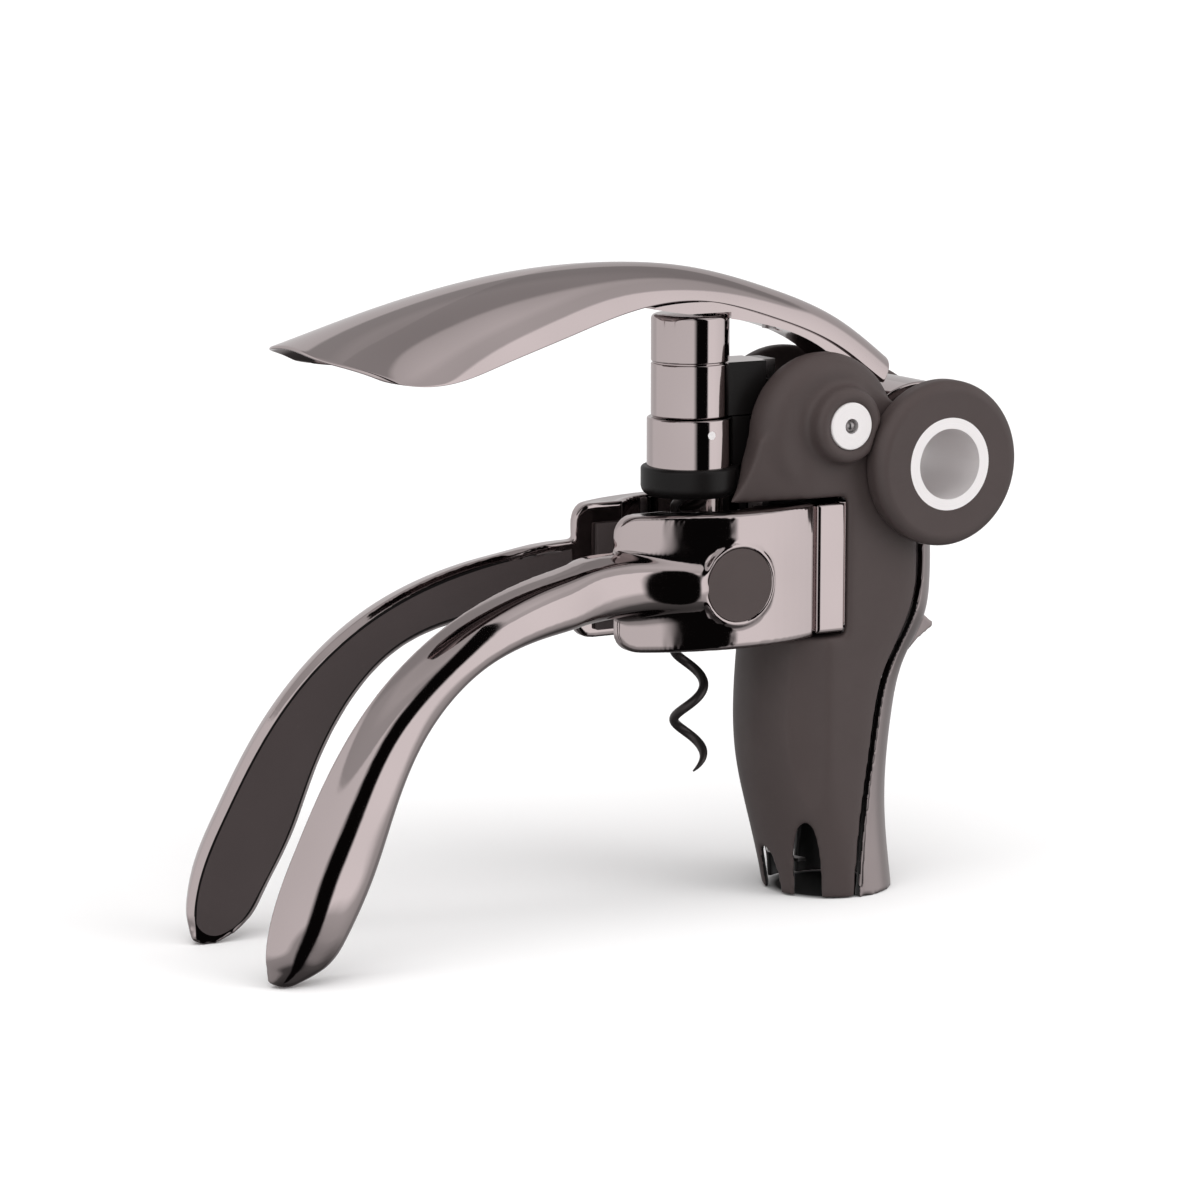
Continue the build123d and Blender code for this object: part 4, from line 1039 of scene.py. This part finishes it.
class CORKSCREW_OT_inner(Operator):
    """Finish the gear, rack, pins, screws and blades, and wind the two foil springs"""

    bl_idname = "corkscrew.inner"
    bl_label = "Inner Steel Parts"

    def execute(self, context):
        steel = tool_finish()
        coat([node for node, slot in SLOT_OF.items() if slot == "tool_steel"], steel)
        low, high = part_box("foil_springs")
        wire = 0.0007
        radius = (high[2] - low[2] - wire) / 2
        side = high[1] - radius - wire / 2
        shape = bmesh.new()
        for way in (-1, 1):
            spring = wound(
                "spring_half", steel, Helix_radius=radius, Wire=wire, Rise=high[0] - low[0] - wire, Turns=3.0,
            )
            place = Matrix.Translation((low[0] + wire / 2, way * side, (low[2] + high[2]) / 2))
            spring.data.transform(place @ Matrix.Rotation(math.pi / 2, 4, "Y"))
            shape.from_mesh(spring.data)
            bpy.data.objects.remove(spring)
        springs = new_object("wound_foil_springs", bpy.data.meshes.new("wound_foil_springs"))
        shape.to_mesh(springs.data)
        shape.free()
        springs.data.shade_smooth()
        stand_for(springs, ("foil_springs",), steel)
        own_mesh(springs)
        return {"FINISHED"}


class CORKSCREW_OT_stage(Operator):
    """Set the floor, the studio panels, the lights and the camera"""

    bl_idname = "corkscrew.stage"
    bl_label = "Studio"

    def execute(self, context):
        size = context.scene.corkscrew.stage
        eye = Vector(EYE)
        aim = Vector(AIM)
        self.floor(tuple(size.floor))
        self.panels(context.scene, size.sky, (eye - aim).to_2d())
        self.lights(size.sun)
        camera = bpy.data.cameras.new("photo_camera")
        camera.lens = size.lens
        camera.sensor_width = 36.0
        camera.clip_start = 0.01
        made = new_object("photo_camera", camera)
        made.location = eye
        made.rotation_euler = (aim - eye).to_track_quat("-Z", "Y").to_euler()
        context.scene.camera = made
        context.scene.view_settings.view_transform = "Standard"
        return {"FINISHED"}

    def floor(self, colour):
        """A pale floor with painted shade: dark in a circle where the cup stands over it."""
        mesh = bpy.data.meshes.new("studio_floor")
        half = 60.0
        corners = [(-half, -half, 0), (half, -half, 0), (half, half, 0), (-half, half, 0)]
        mesh.from_pydata(corners, [], [(0, 1, 2, 3)])
        ground = new_object("studio_floor", mesh)
        ground.location.z = -0.0002
        paint = new_paint("pale_floor")
        mottle = paint.noise(paint.place(), 3.0, 2.0)
        # Painted shade: inside a circle under the foil cup the floor's colour falls to nearly black, standing in
        # for the shadow in the cup
        cup = paint.place(move=(-CUP_X, 0.0, 0.0))
        from_cup = paint.node("ShaderNodeVectorMath", {"operation": "LENGTH"}, {0: cup}, output="Value")
        outside_painted_shade = paint.ramp(from_cup * 40.0, (0.52, 0.0), (0.66, 1.0)) * (0.985 + 0.015 * mottle)
        tint = paint.blend(outside_painted_shade, shade(colour, 0.01), colour)
        mesh.materials.append(paint.finish(Base_Color=tint, Roughness=0.8))
        ground.visible_glossy = False

    def panels(self, scene, strength, towards_camera):
        """Soft bright panels round the object with a dark gap between them, for the chrome to mirror."""
        scene.world = bpy.data.worlds.new("studio_panels")
        paint = Paint(scene.world, "ShaderNodeOutputWorld", "ShaderNodeBackground")
        around = paint.node("ShaderNodeTexCoord", output="Generated")
        turn = -math.atan2(towards_camera.y, towards_camera.x)
        turned = paint.node("ShaderNodeMapping", inputs={"Vector": around, "Rotation": (0.0, 0.0, turn)})
        radial = {"gradient_type": "RADIAL"}
        bearing = paint.node("ShaderNodeTexGradient", radial, {"Vector": turned}, output="Fac")
        height = paint.node("ShaderNodeSeparateXYZ", inputs={"Vector": around}, output="Z")
        ring = paint.ramp(
            bearing, (0.0, 0.58), (0.155, 0.58), (0.185, 0.72), (0.525, 0.77), (0.553, 0.0),
            (0.64, 0.0), (0.652, 1.0), (0.70, 1.0), (0.81, 0.86), (0.84, 0.50), (1.0, 0.50),
        )
        rise = paint.ramp(
            0.5 + 0.5 * height, (0.0, 0.05), (0.13, 0.10), (0.21, 0.42), (0.33, 0.52), (0.39, 1.0),
            (0.785, 1.0), (0.80, 0.56), (0.88, 0.58), (0.92, 0.68), (1.0, 0.62),
        )
        level = paint.blend(ring * rise, (0.004, 0.0035, 0.0035), (1.2, 1.185, 1.185))
        paint.finish(Color=level, Strength=strength)

    def lights(self, strength):
        """A broad overhead light and a softer one from the camera's right, both kept out of mirror images."""
        for name, power, spread, turn in (
            ("overhead_light", strength, 70, (24, -18, 0)),
            ("side_light", 0.45 * strength, 40, (62, 0, 32)),
        ):
            light = bpy.data.lights.new(name, "SUN")
            light.energy = power
            light.angle = math.radians(spread)
            made = new_object(name, light)
            made.rotation_euler = [math.radians(angle) for angle in turn]
            made.visible_glossy = False


class CORKSCREW_PT_sidebar(Panel):
    """Lists the corkscrew's pieces and settings"""

    bl_label = "Lever Corkscrew"
    bl_idname = "CORKSCREW_PT_sidebar"
    bl_space_type = "VIEW_3D"
    bl_region_type = "UI"
    bl_category = "Corkscrew"

    def draw(self, context):
        for step in STEPS:
            self.layout.operator(step.bl_idname)
        for group in ("finish", "moulding", "lever", "worm", "stage"):
            settings = getattr(context.scene.corkscrew, group)
            box = self.layout.box()
            for key in settings.__annotations__:
                box.prop(settings, key)


STEPS = (
    CORKSCREW_OT_body,
    CORKSCREW_OT_lever,
    CORKSCREW_OT_jaws,
    CORKSCREW_OT_trigger,
    CORKSCREW_OT_sleeves,
    CORKSCREW_OT_hub,
    CORKSCREW_OT_worm,
    CORKSCREW_OT_inner,
    CORKSCREW_OT_stage,
)
CLASSES = (
    CORKSCREW_PG_finish,
    CORKSCREW_PG_moulding,
    CORKSCREW_PG_lever,
    CORKSCREW_PG_worm,
    CORKSCREW_PG_stage,
    CORKSCREW_PG_settings,
    *STEPS,
    CORKSCREW_PT_sidebar,
)


def register():
    for made in CLASSES:
        bpy.utils.register_class(made)
    bpy.types.Scene.corkscrew = PointerProperty(type=CORKSCREW_PG_settings)


def unregister():
    del bpy.types.Scene.corkscrew
    for made in reversed(CLASSES):
        bpy.utils.unregister_class(made)


def main():
    register()
    for name in ("Camera", "Light", "Cube"):
        if name in bpy.data.objects:
            bpy.data.objects.remove(bpy.data.objects[name])
    bpy.ops.corkscrew.body()
    bpy.ops.corkscrew.lever()
    bpy.ops.corkscrew.jaws()
    bpy.ops.corkscrew.trigger()
    bpy.ops.corkscrew.sleeves()
    bpy.ops.corkscrew.hub()
    bpy.ops.corkscrew.worm()
    bpy.ops.corkscrew.inner()
    bpy.ops.corkscrew.stage()


if __name__ == "__main__":
    main()
